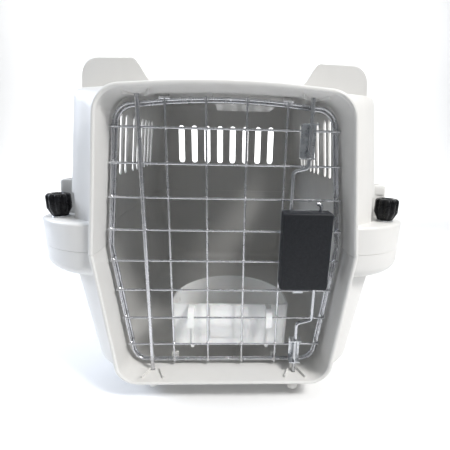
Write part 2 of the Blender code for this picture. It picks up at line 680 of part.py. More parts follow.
def build_rods(steel):
    """The two latch rods; at rest their ends stop just short of the holes in the doorway."""
    floor = TUNNEL_INNER[0][1]
    ceiling = crossing([(x, z) for x, _, z in shell_ring(0, TUNNEL_INNER, RIM_ARCH)], LATCH_X, 0, 1)
    upper = bent([(UPPER_ROD_X, UPPER_SLIDE_Z[0] - 0.006), (UPPER_ROD_X, UPPER_JOG_Z[0]),
                  (LATCH_X, UPPER_JOG_Z[1]), (LATCH_X, ceiling - GAP)], ROD_BEND)
    lower = bent([(LOWER_ROD_X, LOWER_ROD_TOP), (LOWER_ROD_X, LOWER_JOG_Z[0]),
                  (LATCH_X, LOWER_JOG_Z[1]), (LATCH_X, floor + GAP)], ROD_BEND)
    tube("upper_rod", [(x, LATCH_Y, z) for x, z in upper], LATCH_R, steel, sides=10)
    tube("lower_rod", [(x, LATCH_Y, z) for x, z in lower], LATCH_R, steel, sides=10)


def helix(z0, z1, per_turn=10):
    """Wire centre of a latch spring between two heights."""
    count = SPRING_TURNS * per_turn
    points = []
    for i in range(count + 1):
        angle = 2 * pi * i / per_turn
        points.append((SPRING_X + SPRING_R * cos(angle), LATCH_Y + SPRING_R * sin(angle),
                       z0 + (z1 - z0) * i / count))
    return points


def build_latch(plastic, steel):
    """Box with its back plate, slides, springs, screws and clamps."""
    cover = span_box("latch_cover", BOX_X, (BOX_FRONT, PLATE_FRONT - GAP), BOX_Z, plastic)
    bevel_edges(cover, 0.0014, lambda y: y < BOX_FRONT + 0.001)
    inner_x = (BOX_X[0] + BOX_WALL, BOX_X[1] - BOX_WALL)
    inner_z = (BOX_Z[0] + BOX_WALL, BOX_Z[1] - BOX_WALL)
    boolean(cover, span_box("hollow", inner_x, (BOX_FRONT + BOX_WALL, PLATE_FRONT + 0.01), inner_z))
    plate = span_box("latch_back_plate", BOX_X, (PLATE_FRONT, PLATE_BACK), BOX_Z, steel)
    middle = (SPRING_X - CLAMP_HALF, SPRING_X + CLAMP_HALF)
    seat = span_box("seat", middle, (LATCH_Y - 0.006, PLATE_FRONT + 0.001), SPRING_SEAT)
    boolean(plate, seat, "UNION")
    clamp_y = (DOOR_Y + WIRE_R + GAP, DOOR_Y + WIRE_R + GAP + CLAMP_THICK)
    wires = (BOTTOM_WIRE_Z + 2 * WIRE_PITCH, BOTTOM_WIRE_Z + 4 * WIRE_PITCH)
    for tag, z, wire in zip(("lower", "upper"), SCREW_Z, wires):
        boss = cylinder("boss", (SPRING_X, BOX_FRONT + 0.001, z), (SPRING_X, PLATE_FRONT - 0.0006, z),
                        SCREW_BOSS_R, 12)
        boolean(cover, boss, "UNION")
        bore = ((SPRING_X, BOX_FRONT + 0.006, z), (SPRING_X, DOOR_Y + 0.01, z))
        boolean(cover, cylinder("pilot", *bore, SCREW_R + GAP, 10))
        boolean(plate, cylinder("plate_hole", *bore, SCREW_R + GAP, 10))
        low, high = sorted((wire + (0.004 if wire > z else -0.004), z + (0.004 if wire < z else -0.004)))
        clamp = span_box("latch_clamp_" + tag, middle, clamp_y, (low, high), steel)
        boolean(clamp, cylinder("clamp_hole", *bore, SCREW_R + GAP, 10))
        screw(("latch_screw_" + tag), z, clamp_y[1] + GAP, steel)
        finish_mesh(clamp, steel)
    for x, ends in ((UPPER_ROD_X, (BOX_Z[1],)), (LOWER_ROD_X, BOX_Z)):
        for z in ends:
            boolean(cover, cylinder("rod_way", (x, LATCH_Y, z - 0.005), (x, LATCH_Y, z + 0.005),
                                    LATCH_R + 0.0005, 12))
    finish_mesh(cover, plastic)
    finish_mesh(plate, steel)
    slides = (("upper_slide", UPPER_SLIDE_Z, UPPER_ROD_X), ("lower_slide", LOWER_SLIDE_Z, LOWER_ROD_X))
    for name, height, rod_x in slides:
        across = (min(rod_x, SPRING_X) - SLIDE_SIDE, max(rod_x, SPRING_X) + SLIDE_SIDE)
        slide = span_box(name, across, (LATCH_Y - 0.0055, LATCH_Y + 0.0040), height, plastic)
        boolean(slide, cylinder("rod_bore", (rod_x, LATCH_Y, height[0] - 0.01),
                                (rod_x, LATCH_Y, height[1] + 0.01), LATCH_R + GAP, 12))
        finish_mesh(slide, plastic)
    clear = SPRING_WIRE_R + GAP
    for name, low, high in (("upper_spring", SPRING_SEAT[1], UPPER_SLIDE_Z[0]),
                            ("lower_spring", LOWER_SLIDE_Z[1], SPRING_SEAT[0])):
        tube(name, helix(low + clear, high - clear), SPRING_WIRE_R, steel, sides=6)


def screw(name, z, seat_y, steel):
    """Pan-head screw put in from behind the door."""
    rings = []
    for y, radius in ((seat_y + 0.0016, SCREW_HEAD_R - 0.0006), (seat_y + 0.0010, SCREW_HEAD_R),
                      (seat_y, SCREW_HEAD_R), (seat_y, SCREW_R), (BOX_FRONT + 0.0075, SCREW_R)):
        rings.append([(SPRING_X + radius * cos(2 * pi * i / 10), y, z + radius * sin(2 * pi * i / 10))
                      for i in range(10)])
    loft(name, rings, steel)


def build_guides(steel):
    """Folded brackets on the wires that the latch rods run through."""
    back, front, thick = PLATE_BACK, LATCH_Y - GUIDE_REACH, GUIDE_THICK
    for name, (across, low, high) in (("upper_rod_guide", UPPER_GUIDE), ("lower_rod_guide", LOWER_GUIDE)):
        outline = [(back, low), (back, high), (front, high), (front, high - thick),
                   (back - thick, high - thick), (back - thick, low + thick), (front, low + thick),
                   (front, low)]
        guide = prism(name, outline, *across, axis="X", material=steel)
        boolean(guide, cylinder("guide_hole", (LATCH_X, LATCH_Y, low - 0.01),
                                (LATCH_X, LATCH_Y, high + 0.01), LATCH_R + 0.0004, 12))
        finish_mesh(guide, steel)


# ---------------------------------------------------------------- bowl


def bowl_outline(inset):
    """Plan of the bowl: flat towards the door, half an ellipse towards the cabin."""
    half, depth = BOWL_HALF - inset, BOWL_DEPTH - BOWL_SHOULDER - inset
    front = BOWL_FRONT + inset
    shoulder = BOWL_FRONT + BOWL_SHOULDER
    corner = BOWL_CORNER - inset / 2
    right = rounded([(0, front, 0), (half, front, corner), (half, shoulder, 0)], steps=3)[1:-1]
    curve = [(half * cos(pi * i / 14), shoulder + depth * sin(pi * i / 14)) for i in range(15)]
    left = [(-x, y) for x, y in reversed(right)]
    return [(BOWL_X + x, y) for x, y in right + curve + left]


def hook_outline():
    """Side view of a bowl hook: from the bowl's top edge over a door wire and down its front."""
    wire_z = BOTTOM_WIRE_Z + WIRE_PITCH
    bridge = wire_z + WIRE_R + GAP
    inside, top = BOWL_FRONT + 0.0018, BOWL_Z[1]
    front, foot = DOOR_Y - WIRE_R - GAP, wire_z - HOOK_DROP
    return [(inside, bridge), (front, bridge), (front, foot), (front - HOOK_THICK, foot),
            (front - HOOK_THICK, bridge + 0.0005), (front, bridge + 0.0050),
            (front + 0.0060, top - 0.0010), (BOWL_FRONT + 0.0005, top), (inside, top)]


def build_bowl(plastic):
    """Clip-on bowl: upright wall, raised front panel, and two hooks over a door wire."""
    bowl = loft("bowl", [[(x, y, z) for x, y in bowl_outline(inset)] for z, inset in BOWL_OUTSIDE], plastic)
    boolean(bowl, loft("hollow", [[(x, y, z) for x, y in bowl_outline(inset)] for z, inset in BOWL_INSIDE]))
    proud = (BOWL_FRONT - 0.0010, BOWL_FRONT + 0.0010)
    boolean(bowl, span_box("panel", BOWL_PANEL[0], proud, BOWL_PANEL[1]), "UNION")
    for x in HOOK_X:
        boolean(bowl, prism("hook", hook_outline(), x - HOOK_HALF, x + HOOK_HALF, axis="X"), "UNION")
        boolean(bowl, span_box("rib", (x - 0.0010, x + 0.0010), proud, (BOWL_Z[0] + 0.002, 0.099)), "UNION")
        nub_z = BOWL_Z[0] + 0.0010
        boolean(bowl, cylinder("nub", (x, BOWL_FRONT - 0.0010, nub_z), (x, BOWL_FRONT + 0.0060, nub_z),
                               NUB_R, 12), "UNION")
    finish_mesh(bowl, plastic)


# ---------------------------------------------------------------- assembly


def span_box(name, xs, ys, zs, material=None):
    """Box between pairs of limits, given in either order."""
    low, high = zip(*(sorted(pair) for pair in (xs, ys, zs)))
    return box(name, low, high, material)


def bevel_edges(obj, width, keep):
    """Round the edges whose ends both satisfy keep(y)."""
    bm = bmesh.new()
    bm.from_mesh(obj.data)
    edges = [e for e in bm.edges if all(keep(v.co.y) for v in e.verts)]
    bmesh.ops.bevel(bm, geom=edges, offset=width, segments=2, profile=0.5, affect="EDGES")
    bm.to_mesh(obj.data)
    bm.free()


def finish_mesh(obj, material):
    """Clean up after Booleans: weld slivers, set material and shading."""
    bm = bmesh.new()
    bm.from_mesh(obj.data)
    bmesh.ops.remove_doubles(bm, verts=bm.verts, dist=0.00001)
    bmesh.ops.dissolve_degenerate(bm, edges=bm.edges, dist=0.00001)
    bm.to_mesh(obj.data)
    bm.free()
    obj.data.materials.clear()
    obj.data.materials.append(material)
    obj.data.shade_smooth()
    obj.data.set_sharp_from_angle(angle=radians(32))


def move_origin(obj, point):
    """Put an object's origin on its joint axis without moving its shape."""
    obj.data.transform(Matrix.Translation(-Vector(point)))
    obj.location = point


def main():
    clear_scene()
    shell_plastic = make_material("shell_plastic", (0.84, 0.84, 0.83), 0.45)
    black_plastic = make_material("black_plastic", (0.02, 0.02, 0.022), 0.30)
    latch_plastic = make_material("latch_plastic", (0.035, 0.038, 0.045), 0.60)
    bowl_plastic = make_material("bowl_plastic", (0.86, 0.86, 0.85), 0.40)
    plated_wire = make_material("plated_wire", (0.75, 0.75, 0.76), 0.25, 1.0)
    steel = make_material("steel", (0.62, 0.62, 0.63), 0.35, 1.0)
    build_shells(shell_plastic)
    for side, end in corners_of():
        tag = ("front" if end < 0 else "rear") + ("_left" if side < 0 else "_right")
        build_fastener(tag, side, end, black_plastic, steel)
    build_handle(shell_plastic, steel)
    build_grid(plated_wire)
    build_rods(plated_wire)
    build_latch(latch_plastic, steel)
    build_guides(steel)
    build_bowl(bowl_plastic)


main()
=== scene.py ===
"""Looks of the small pet kennel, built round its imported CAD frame.

The shells, wires, latch cover, knobs, bowl and handle are rebuilt here with finer surfaces; the
remaining CAD nodes keep their shape and get better materials.  Metres, +Z up, door facing -Y.
"""
from math import acos, cos, degrees, pi, radians, sin, sqrt

import bmesh
import bpy
from mathutils import Matrix, Vector


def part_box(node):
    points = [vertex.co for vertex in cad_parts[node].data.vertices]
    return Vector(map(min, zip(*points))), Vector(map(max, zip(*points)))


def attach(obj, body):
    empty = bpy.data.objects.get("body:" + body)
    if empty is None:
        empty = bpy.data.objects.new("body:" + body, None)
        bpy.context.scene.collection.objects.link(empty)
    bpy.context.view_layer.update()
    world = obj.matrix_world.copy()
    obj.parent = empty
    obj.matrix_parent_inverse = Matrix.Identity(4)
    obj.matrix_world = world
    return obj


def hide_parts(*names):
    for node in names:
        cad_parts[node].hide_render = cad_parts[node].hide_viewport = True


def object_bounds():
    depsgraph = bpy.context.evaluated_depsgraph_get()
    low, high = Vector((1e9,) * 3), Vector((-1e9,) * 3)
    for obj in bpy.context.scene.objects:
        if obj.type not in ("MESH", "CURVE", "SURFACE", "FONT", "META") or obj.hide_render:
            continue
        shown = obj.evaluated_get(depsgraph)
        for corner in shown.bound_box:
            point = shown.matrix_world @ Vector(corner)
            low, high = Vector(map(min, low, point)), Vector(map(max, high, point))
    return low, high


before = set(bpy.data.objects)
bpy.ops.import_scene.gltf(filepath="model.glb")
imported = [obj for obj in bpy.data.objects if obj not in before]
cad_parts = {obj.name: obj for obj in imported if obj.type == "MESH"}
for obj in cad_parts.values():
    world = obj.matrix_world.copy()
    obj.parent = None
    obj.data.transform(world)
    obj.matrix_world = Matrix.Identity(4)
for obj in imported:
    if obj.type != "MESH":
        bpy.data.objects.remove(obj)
CAD_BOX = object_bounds()


def middle(node):
    """Centre of a CAD node's box."""
    low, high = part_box(node)
    return (low + high) / 2


# ------------------------------ places read from the frame
GAP = 0.0003
WALL = 0.0025
FRONT_Y, BACK_Y = CAD_BOX[0].y, CAD_BOX[1].y
TOP_Z = CAD_BOX[1].z
SEAM_Z = (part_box("upper_shell")[0].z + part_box("lower_shell")[1].z) / 2
DOOR_Y = middle("horizontal_wire_1").y
VERTICAL_Y = middle("vertical_wire_2").y
FRONT_LOOP_Y = middle("front_loop").y
BACK_LOOP_Y = middle("back_loop").y
WIRE_ZS = [middle("horizontal_wire_%d" % (i + 1)).z for i in range(8)]
VERTICAL_XS = [middle("vertical_wire_%d" % (i + 1)).x for i in range(4)]
HINGE = middle("hinge_rod")
LATCH = Vector((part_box("upper_rod_guide")[1].x - 0.0065, middle("upper_rod").y, 0.0))
BODY_BACK_Y = BACK_Y - 0.0045
WIRE_R = 0.0012
LOOP_R = 0.0016
HINGE_R = 0.0023
ROD_R = 0.0021
SMOOTH_ANGLE = radians(38)
WELD_GAP = 0.00001                # points closer than this are merged

# Sections of the mouldings: (half width, height, corner radius) at the bottom, seam and top
RIM_OUTER = ((0.1225, 0.0245, 0.026), (0.1395, SEAM_Z), (0.1210, 0.3430, 0.029))
RIM_INNER = ((0.1180, 0.0285, 0.022), (0.1350, SEAM_Z), (0.1170, 0.3385, 0.025))
NECK_OUTER = ((0.1215, 0.0250, 0.026), (0.1385, SEAM_Z), (0.1200, 0.3420, 0.029))
TUNNEL_INNER = ((0.1165, 0.0285, 0.022), (0.1330, SEAM_Z), (0.1135, 0.3360, 0.023))
FRAME_OUTER = ((0.1500, 0.0300, 0.014), (0.1735, SEAM_Z), (0.1512, 0.3420, 0.009))
BODY_OUTER = ((0.1400, 0.0080, 0.032), (0.1655, SEAM_Z), (0.1460, 0.3740, 0.018))
FLARE_FRONT = ((0.1215, 0.0300, 0.020), (0.1385, SEAM_Z), (0.1180, 0.3360, 0.024))
FLARE_BACK = ((0.1420, 0.0330, 0.012), (0.1655, SEAM_Z), (0.1435, 0.3360, 0.008))
FLARE_EXIT = ((0.1320, 0.0330, 0.012), (0.1560, SEAM_Z), (0.1370, 0.3360, 0.008))
DOOR_OUTLINE = ((0.1097, 0.0358, 0.018), (0.1275, SEAM_Z), (0.1112, 0.3290, 0.020))
RIM_ARCH, FRAME_ARCH, ROOF_ARCH, DOOR_ARCH = 0.0045, 0.0060, 0.0020, 0.0060
ROOF_Z = BODY_OUTER[2][1]
SCOOP_DEPTH = 0.022
SCOOP_SPAN = (0.028, 0.102)       # behind the door
SCOOP_SIDE = (0.755, 0.60)        # shares of the flat roof where its sides start and end
SCOOP_WALL = 0.0018
END_ROUND = (0.030, 0.017)        # rounding of the back: along the body, across it

PODS = [(side, end) for end in (-1, 1) for side in (-1, 1)]
KNOB = middle("knob_front_right")
POD_IN, POD_OUT = 0.1385, CAD_BOX[1].x
POD_INNER_Y = 0.1615
POD_CENTRE = (0.137, 0.183)       # centre of the wide curve round a pod's outer end
POD_CURVE, POD_RADIUS = 0.075, 0.030
POD_Z = (0.1465, 0.2118)
POD_BELLY = (0.022, 0.026)        # rise and inset of the underside
POD_CROWN = 0.0035                # rounding of the top edge
POCKET_IN, COLUMN_R = 0.1715, 0.010
BORE_R = 0.0033                   # round the bolts and the handle pins
HEAD_SEAT_Z, HEAD_RECESS_R = 0.163, 0.0070
SCALLOP_R, SCALLOP_HEIGHT = 0.0220, 0.0270
POST_X, POST_Y, POST_HALF = (0.150, 0.190), 0.1905, 0.011
POST_STEPS = ((0.209, 0.0), (0.240, 0.0010), (0.2470, 0.0013), (0.2490, 0.0022), (0.250, 0.0042))
TIE_X, TIE_R, TIE_Z = 0.179, 0.0040, (0.234, 0.260)
FLANGE_REACH, FLANGE_HALF, FLANGE_CORNER = 0.007, 0.0045, 0.026
SKID = ((0.080, 0.108), (-0.195, 0.225), (0.0, 0.012))
ROOF_RIB = ((0.101, 0.108), (-0.120, 0.215), (ROOF_Z - 0.004, TOP_Z))
WELL_X, WELL_HALF, WELL_FLOOR, WELL_CORNER = (-0.016, 0.076), 0.098, 0.352, 0.006

# Doorway: bosses and holes for the rods, V ribs round them, door stops
SOCKET_Z, CAP_Z, BOSS_R = 0.0075, 0.3455, 0.0065
BOSS_ENDS = (0.0265, 0.3385)
ROD_CLEARANCE = 0.0006
RIB_Z = ((0.0265, 0.0315), (0.3345, 0.3390))
RIB_SPREAD = (0.0055, 0.0125)     # beside the rod: at the door, at the rim
RIB_HALF = 0.0009
STOP_X, STOP_Z = (0.058, 0.066), ((0.0265, 0.0405), (0.3300, 0.3410))

# Vents: (width, bottom, top), pitch and place
SIDE_SLOT, SIDE_PITCH, WIDE_RIB = (0.014, 0.244, 0.329), 0.028, 1.65
BACK_SLOT, BACK_PITCH, BACK_SHIFT = (0.013, 0.246, 0.328), 0.0295, -0.0015
REAR_SLOTS_Y = DOOR_Y + 0.240     # first vent behind the wide rib

# Welds of the door grid, by the wires they join
CROSS_WELD, EDGE_WELD, END_WELD = 0.0021, 0.0024, 0.0023
WIRE_OVERHANG = 0.0022
EDGE_WIRE_Z = (0.060, 0.3135)
LOOP_JOIN_X = 0.004
BAR_STEP = 0.0027

UPPER_JOG_Z, LOWER_JOG_Z = (0.2665, 0.2700), (0.0975, 0.0930)
ROD_BEND, ROD_HOOK = 0.0042, 0.0055
SCREW_X = 0.085
COVER_WALL, COVER_DOME, COVER_CORNER = 0.0018, 0.0022, 0.0024
GRIP_WIDTH, ARM_WIDTH = 0.021, 0.014
GROOVE_PITCH, GROOVE_R, GROOVE_DROP = 0.0135, 0.0030, 0.0016

BOWL_X, BOWL_HALF, BOWL_DEPTH = 0.006, 0.071, 0.100
BOWL_FRONT = DOOR_Y + 0.0130
BOWL_SHOULDER, BOWL_CORNER = 0.022, 0.006
PANEL_X, PANEL_Z = (-0.018, 0.028), 0.0635
V_RIB_TOP, V_RIB_FOOT, V_RIB_Z = 0.0100, 0.0016, 0.0660      # widths, height of the foot
HOOKS_X, HOOK_HALF, HOOK_THICK, HOOK_DROP = (-0.040, 0.052), 0.0035, 0.0028, 0.012
NUB_R = 0.0023


# ------------------------------ materials


class Surface:
    """A Principled material, with procedural variation measured in metres of the row frame."""

    def __init__(self, name, roughness, metallic=0.0, **sockets):
        self.material = bpy.data.materials.new(name)
        self.material.use_nodes = True
        self.tree = self.material.node_tree
        self.shader = self.tree.nodes["Principled BSDF"]
        self.shader.inputs["Roughness"].default_value = roughness
        self.shader.inputs["Metallic"].default_value = metallic
        for socket, value in sockets.items():
            self.shader.inputs[socket.replace("_", " ")].default_value = value
        self.place = self.add("ShaderNodeTexCoord").outputs["Object"]
        self.normal = None

    def add(self, kind, **values):
        node = self.tree.nodes.new(kind)
        for key, value in values.items():
            setattr(node, key, value)
        return node

    def join(self, source, target):
        self.tree.links.new(source, target)

    def noise(self, per_metre, detail, stretch=(1, 1, 1)):
        """Noise with that many features to the metre, as a 0 to 1 value."""
        scale = self.add("ShaderNodeMapping")
        scale.inputs["Scale"].default_value = stretch
        texture = self.add("ShaderNodeTexNoise")
        texture.inputs["Scale"].default_value = per_metre
        texture.inputs["Detail"].default_value = detail
        texture.inputs["Roughness"].default_value = 0.55
        self.join(self.place, scale.inputs["Vector"])
        self.join(scale.outputs["Vector"], texture.inputs["Vector"])
        return texture.outputs["Fac"]

    def cells(self, per_metre):
        """Pebble-like cells, as a distance value."""
        texture = self.add("ShaderNodeTexVoronoi", feature="SMOOTH_F1")
        texture.inputs["Scale"].default_value = per_metre
        self.join(self.place, texture.inputs["Vector"])
        return texture.outputs["Distance"]

    def spread(self, value, low, high, start=0.3, stop=0.7):
        """Map a texture value to a range."""
        node = self.add("ShaderNodeMapRange")
        for key, number in (("From Min", start), ("From Max", stop), ("To Min", low), ("To Max", high)):
            node.inputs[key].default_value = number
        self.join(value, node.inputs["Value"])
        return node.outputs["Result"]

    def blend(self, factor, first, second):
        """Mix two colours, each a colour or the output of another mix."""
        node = self.add("ShaderNodeMix", data_type="RGBA")
        self.join(factor, node.inputs["Factor"])
        for key, colour in ((6, first), (7, second)):
            if isinstance(colour, tuple):
                node.inputs[key].default_value = (*colour, 1.0)
            else:
                self.join(colour, node.inputs[key])
        return node.outputs[2]

    def edges(self, low, high):
        """0 on flat areas, rising to 1 on outer edges: edge wear on the knobs, and on the latch cover a
        painted edge highlight as well as wear.
        """
        point = self.add("ShaderNodeNewGeometry").outputs["Pointiness"]
        return self.spread(point, 0.0, 1.0, low, high)

    def colour(self, output):
        self.join(output, self.shader.inputs["Base Color"])

    def rough(self, output):
        self.join(output, self.shader.inputs["Roughness"])

    def bump(self, height, distance, strength):
        """Add a layer of relief, distance deep in metres."""
        node = self.add("ShaderNodeBump")
        node.inputs["Distance"].default_value = distance
        node.inputs["Strength"].default_value = strength
        self.join(height, node.inputs["Height"])
        if self.normal:
            self.join(self.normal, node.inputs["Normal"])
        self.normal = node.outputs["Normal"]
        self.join(self.normal, self.shader.inputs["Normal"])


def shell_surface():
    """Off-white moulded plastic with fine grain, faint flow marks and a little handling dirt."""
    made = Surface("shell_plastic", 0.40, IOR=1.49, Specular_IOR_Level=0.42)
    clean, cool, warm = (0.76, 0.75, 0.725), (0.72, 0.715, 0.70), (0.62, 0.595, 0.55)
    base = made.blend(made.spread(made.noise(7.0, 4.0), 0.0, 1.0), clean, cool)
    soil = made.spread(made.noise(26.0, 6.0, (1, 1, 0.5)), 0.0, 0.22, 0.56, 0.80)
    streak = made.spread(made.noise(75.0, 3.0, (1, 1, 0.05)), 0.0, 0.16, 0.45, 0.75)
    made.colour(made.blend(soil, made.blend(streak, base, (0.64, 0.635, 0.62)), warm))
    made.rough(made.spread(made.noise(55.0, 5.0), 0.28, 0.46))
    made.bump(made.cells(1100.0), 0.00005, 0.55)
    made.bump(made.noise(420.0, 4.0), 0.00006, 0.5)
    made.bump(made.noise(16.0, 2.0, (1, 1, 0.3)), 0.00030, 0.35)
    return made.material


def handle_surface():
    """The same plastic, smoother where hands polish it."""
    made = Surface("handle_plastic", 0.34, IOR=1.49)
    cloud = made.spread(made.noise(12.0, 4.0), 0.0, 1.0)
    base = made.blend(cloud, (0.79, 0.79, 0.775), (0.75, 0.765, 0.775))
    soil = made.spread(made.noise(90.0, 5.0), 0.0, 0.3, 0.55, 0.8)
    made.colour(made.blend(soil, base, (0.66, 0.64, 0.60)))
    made.rough(made.spread(made.noise(70.0, 4.0), 0.24, 0.42))
    made.bump(made.noise(600.0, 3.0), 0.00004, 0.5)
    return made.material


def bowl_surface():
    """Satin white plastic, slightly translucent."""
    made = Surface("bowl_plastic", 0.32, IOR=1.50, Subsurface_Weight=0.06, Subsurface_Scale=0.004)
    cloud = made.spread(made.noise(14.0, 4.0), 0.0, 1.0)
    base = made.blend(cloud, (0.93, 0.93, 0.91), (0.91, 0.915, 0.915))
    scuff = made.spread(made.noise(140.0, 6.0, (1, 1, 3)), 0.0, 0.20, 0.58, 0.78)
    made.colour(made.blend(scuff, base, (0.70, 0.69, 0.65)))
    made.rough(made.spread(made.noise(80.0, 4.0), 0.26, 0.42))
    made.bump(made.noise(500.0, 3.0), 0.00004, 0.5)
    return made.material


def knob_surface():
    """Gloss black moulding with dulled, slightly greyed edges."""
    made = Surface("black_plastic", 0.30, IOR=1.46, Specular_IOR_Level=0.22)
    cloud = made.spread(made.noise(60.0, 4.0), 0.0, 1.0)
    base = made.blend(cloud, (0.003, 0.003, 0.0035), (0.007, 0.007, 0.008))
    made.colour(made.blend(made.edges(0.52, 0.62), base, (0.022, 0.022, 0.024)))
    made.rough(made.spread(made.noise(240.0, 5.0), 0.19, 0.38))
    made.bump(made.noise(900.0, 2.0), 0.00003, 0.4)
    return made.material


def latch_surface():
    """Charcoal plastic with a coarse spark-eroded texture; its lighter outer edges are a painted edge
    highlight along with some wear.
    """
    made = Surface("latch_plastic", 0.52, IOR=1.47, Specular_IOR_Level=0.40)
    speck = made.spread(made.noise(1500.0, 3.0), 0.0, 1.0, 0.42, 0.66)
    base = made.blend(speck, (0.005, 0.006, 0.008), (0.014, 0.016, 0.021))
    # lighter outer edges: painted edge highlight, partly edge wear
    made.colour(made.blend(made.edges(0.52, 0.60), base, (0.10, 0.11, 0.13)))
    made.rough(made.spread(made.noise(300.0, 4.0), 0.44, 0.66))
    made.bump(made.cells(1300.0), 0.00012, 0.8)
    made.bump(made.noise(30.0, 2.0), 0.0002, 0.3)
    return made.material


def wire_surface(name, tint, dull, streaks):
    """Bright plated wire: drawing lines along it and cloudy patches of duller plating."""
    made = Surface(name, 0.2, 1.0)
    cloud = made.spread(made.noise(40.0, 5.0), 0.0, 1.0, 0.40, 0.68)
    made.colour(made.blend(cloud, tint, dull))
    made.rough(made.spread(made.noise(90.0, 3.0), 0.22, 0.30))
    made.bump(made.noise(900.0, 2.0, streaks), 0.000004, 0.3)
    return made.material


def sheet_surface():
    """Zinc-plated sheet steel with a faint spangle and scratches."""
    made = Surface("steel", 0.3, 1.0)
    spangle = made.spread(made.cells(240.0), 0.0, 1.0, 0.15, 0.75)
    base = made.blend(spangle, (0.55, 0.57, 0.60), (0.68, 0.69, 0.70))
    stain = made.spread(made.noise(200.0, 6.0), 0.0, 0.35, 0.58, 0.75)
    made.colour(made.blend(stain, base, (0.38, 0.37, 0.35)))
    made.rough(made.spread(made.noise(340.0, 5.0), 0.20, 0.44))
    made.bump(made.noise(900.0, 4.0, (1, 1, 0.15)), 0.00005, 0.6)
    return made.material


def floor_surface():
    """Pale floor, greyer behind the camera so that little light comes back from the front."""
    made = Surface("studio_floor", 0.75)
    split = made.add("ShaderNodeSeparateXYZ")
    made.join(made.place, split.inputs["Vector"])
    front = made.spread(split.outputs["Y"], 1.0, 0.0, -0.95, -0.45)
    pale = made.blend(made.noise(3.0, 2.0), (0.92, 0.92, 0.92), (0.94, 0.94, 0.94))
    made.colour(made.blend(front, pale, (0.24, 0.24, 0.24)))
    return made.material


# ------------------------------ mesh helpers


def new_object(name, bm, material):
    """Object from a bmesh, shaded smooth between its sharp edges."""
    bmesh.ops.recalc_face_normals(bm, faces=bm.faces)
    mesh = bpy.data.meshes.new(name)
    bm.to_mesh(mesh)
    bm.free()
    mesh.shade_smooth()
    mesh.set_sharp_from_angle(angle=SMOOTH_ANGLE)
    if material:
        mesh.materials.append(material)
    obj = bpy.data.objects.new(name, mesh)
    bpy.context.scene.collection.objects.link(obj)
    return obj


def loft(name, rings, material=None, closed=False):
    """Solid through rings of equal point count, with end caps or closed into a ring."""
    bm = bmesh.new()
    loops = [[bm.verts.new(point) for point in ring] for ring in rings]
    for near, far in zip(loops, loops[1:] + (loops[:1] if closed else [])):
        for i, vert in enumerate(near):
            j = (i + 1) % len(near)
            bm.faces.new((vert, near[j], far[j], far[i]))
    if not closed:
        bm.faces.new(loops[0])
        bm.faces.new(loops[-1])
    return new_object(name, bm, material)


def block(name, xs, ys, zs):
    """Box between pairs of limits, given in either order."""
    low, high = zip(*(sorted(pair) for pair in (xs, ys, zs)))
    rings = [[(low[0], low[1], z), (high[0], low[1], z), (high[0], high[1], z), (low[0], high[1], z)]
             for z in (low[2], high[2])]
    return loft(name, rings)


def cylinder(name, start, end, radius, sides=24):
    """Round bar between two points."""
    start, end = Vector(start), Vector(end)
    axis = (end - start).normalized()
    across = axis.orthogonal().normalized()
    up = axis.cross(across)
    rings = [[centre + radius * (cos(2 * pi * i / sides) * across + sin(2 * pi * i / sides) * up)
              for i in range(sides)] for centre in (start, end)]
    return loft(name, rings)


def boolean(target, tool, operation="DIFFERENCE"):
    """Apply one exact Boolean to target and delete the tool."""
    modifier = target.modifiers.new(operation.title(), "BOOLEAN")
    modifier.operation = operation
    modifier.solver = "EXACT"
    modifier.object = tool
    graph = bpy.context.evaluated_depsgraph_get()
    target.data = bpy.data.meshes.new_from_object(target.evaluated_get(graph))
    target.modifiers.clear()
    bpy.data.objects.remove(tool, do_unlink=True)


def arc(centre, radius, start, end, steps):
    """Points of a plane arc as (u, v) pairs, angles in degrees."""
    return [(centre[0] + radius * cos(radians(start + (end - start) * i / steps)),
             centre[1] + radius * sin(radians(start + (end - start) * i / steps)))
            for i in range(steps + 1)]


def rounded(corners, steps=8):
    """Round each (u, v, radius) corner of a polygon with an arc; radius 0 keeps the point."""
    outline = []
    for i, (u, v, radius) in enumerate(corners):
        here = Vector((u, v))
        if not radius:
            outline.append((u, v))
            continue
        before = (Vector(corners[i - 1][:2]) - here).normalized()
        after = (Vector(corners[(i + 1) % len(corners)][:2]) - here).normalized()
        half = before.angle(after) / 2
        reach = radius / sin(half)
        centre = here + (before + after).normalized() * reach
        first = here + before * sqrt(reach ** 2 - radius ** 2) - centre
        last = here + after * sqrt(reach ** 2 - radius ** 2) - centre
        turn = first.angle_signed(last)
        for k in range(steps + 1):
            spin = Matrix.Rotation(-turn * k / steps, 2)
            outline.append(tuple(centre + spin @ first))
    return outline


def prism(name, outline, low, high, axis="Z", material=None):
    """Extrude a (u, v) outline along an axis: Z takes (x, y), Y takes (x, z), X takes (y, z)."""
    place = {"Z": lambda u, v, w: (u, v, w), "Y": lambda u, v, w: (u, w, v),
             "X": lambda u, v, w: (w, u, v)}[axis]
    return loft(name, [[place(u, v, w) for u, v in outline] for w in (low, high)], material)


def evenly(start, stop, steps):
    """Values from start to stop in equal steps."""
    return [start + (stop - start) * k / steps for k in range(steps + 1)]


def rectangle(xs, ys, radius):
    """Corners of a rectangle between pairs of limits, for rounded()."""
    return [(x, y, radius) for x, y in ((xs[0], ys[0]), (xs[1], ys[0]), (xs[1], ys[1]), (xs[0], ys[1]))]


def quarter(steps):
    """(1 - sin, 1 - cos) along a quarter turn, the two setbacks of a rounded edge."""
    turns = [radians(90) * k / steps for k in range(steps + 1)]
    return [(1 - sin(turn), 1 - cos(turn)) for turn in turns]


def smooth_step(t):
    """Ease from 0 to 1."""
    t = min(max(t, 0.0), 1.0)
    return t * t * (3 - 2 * t)


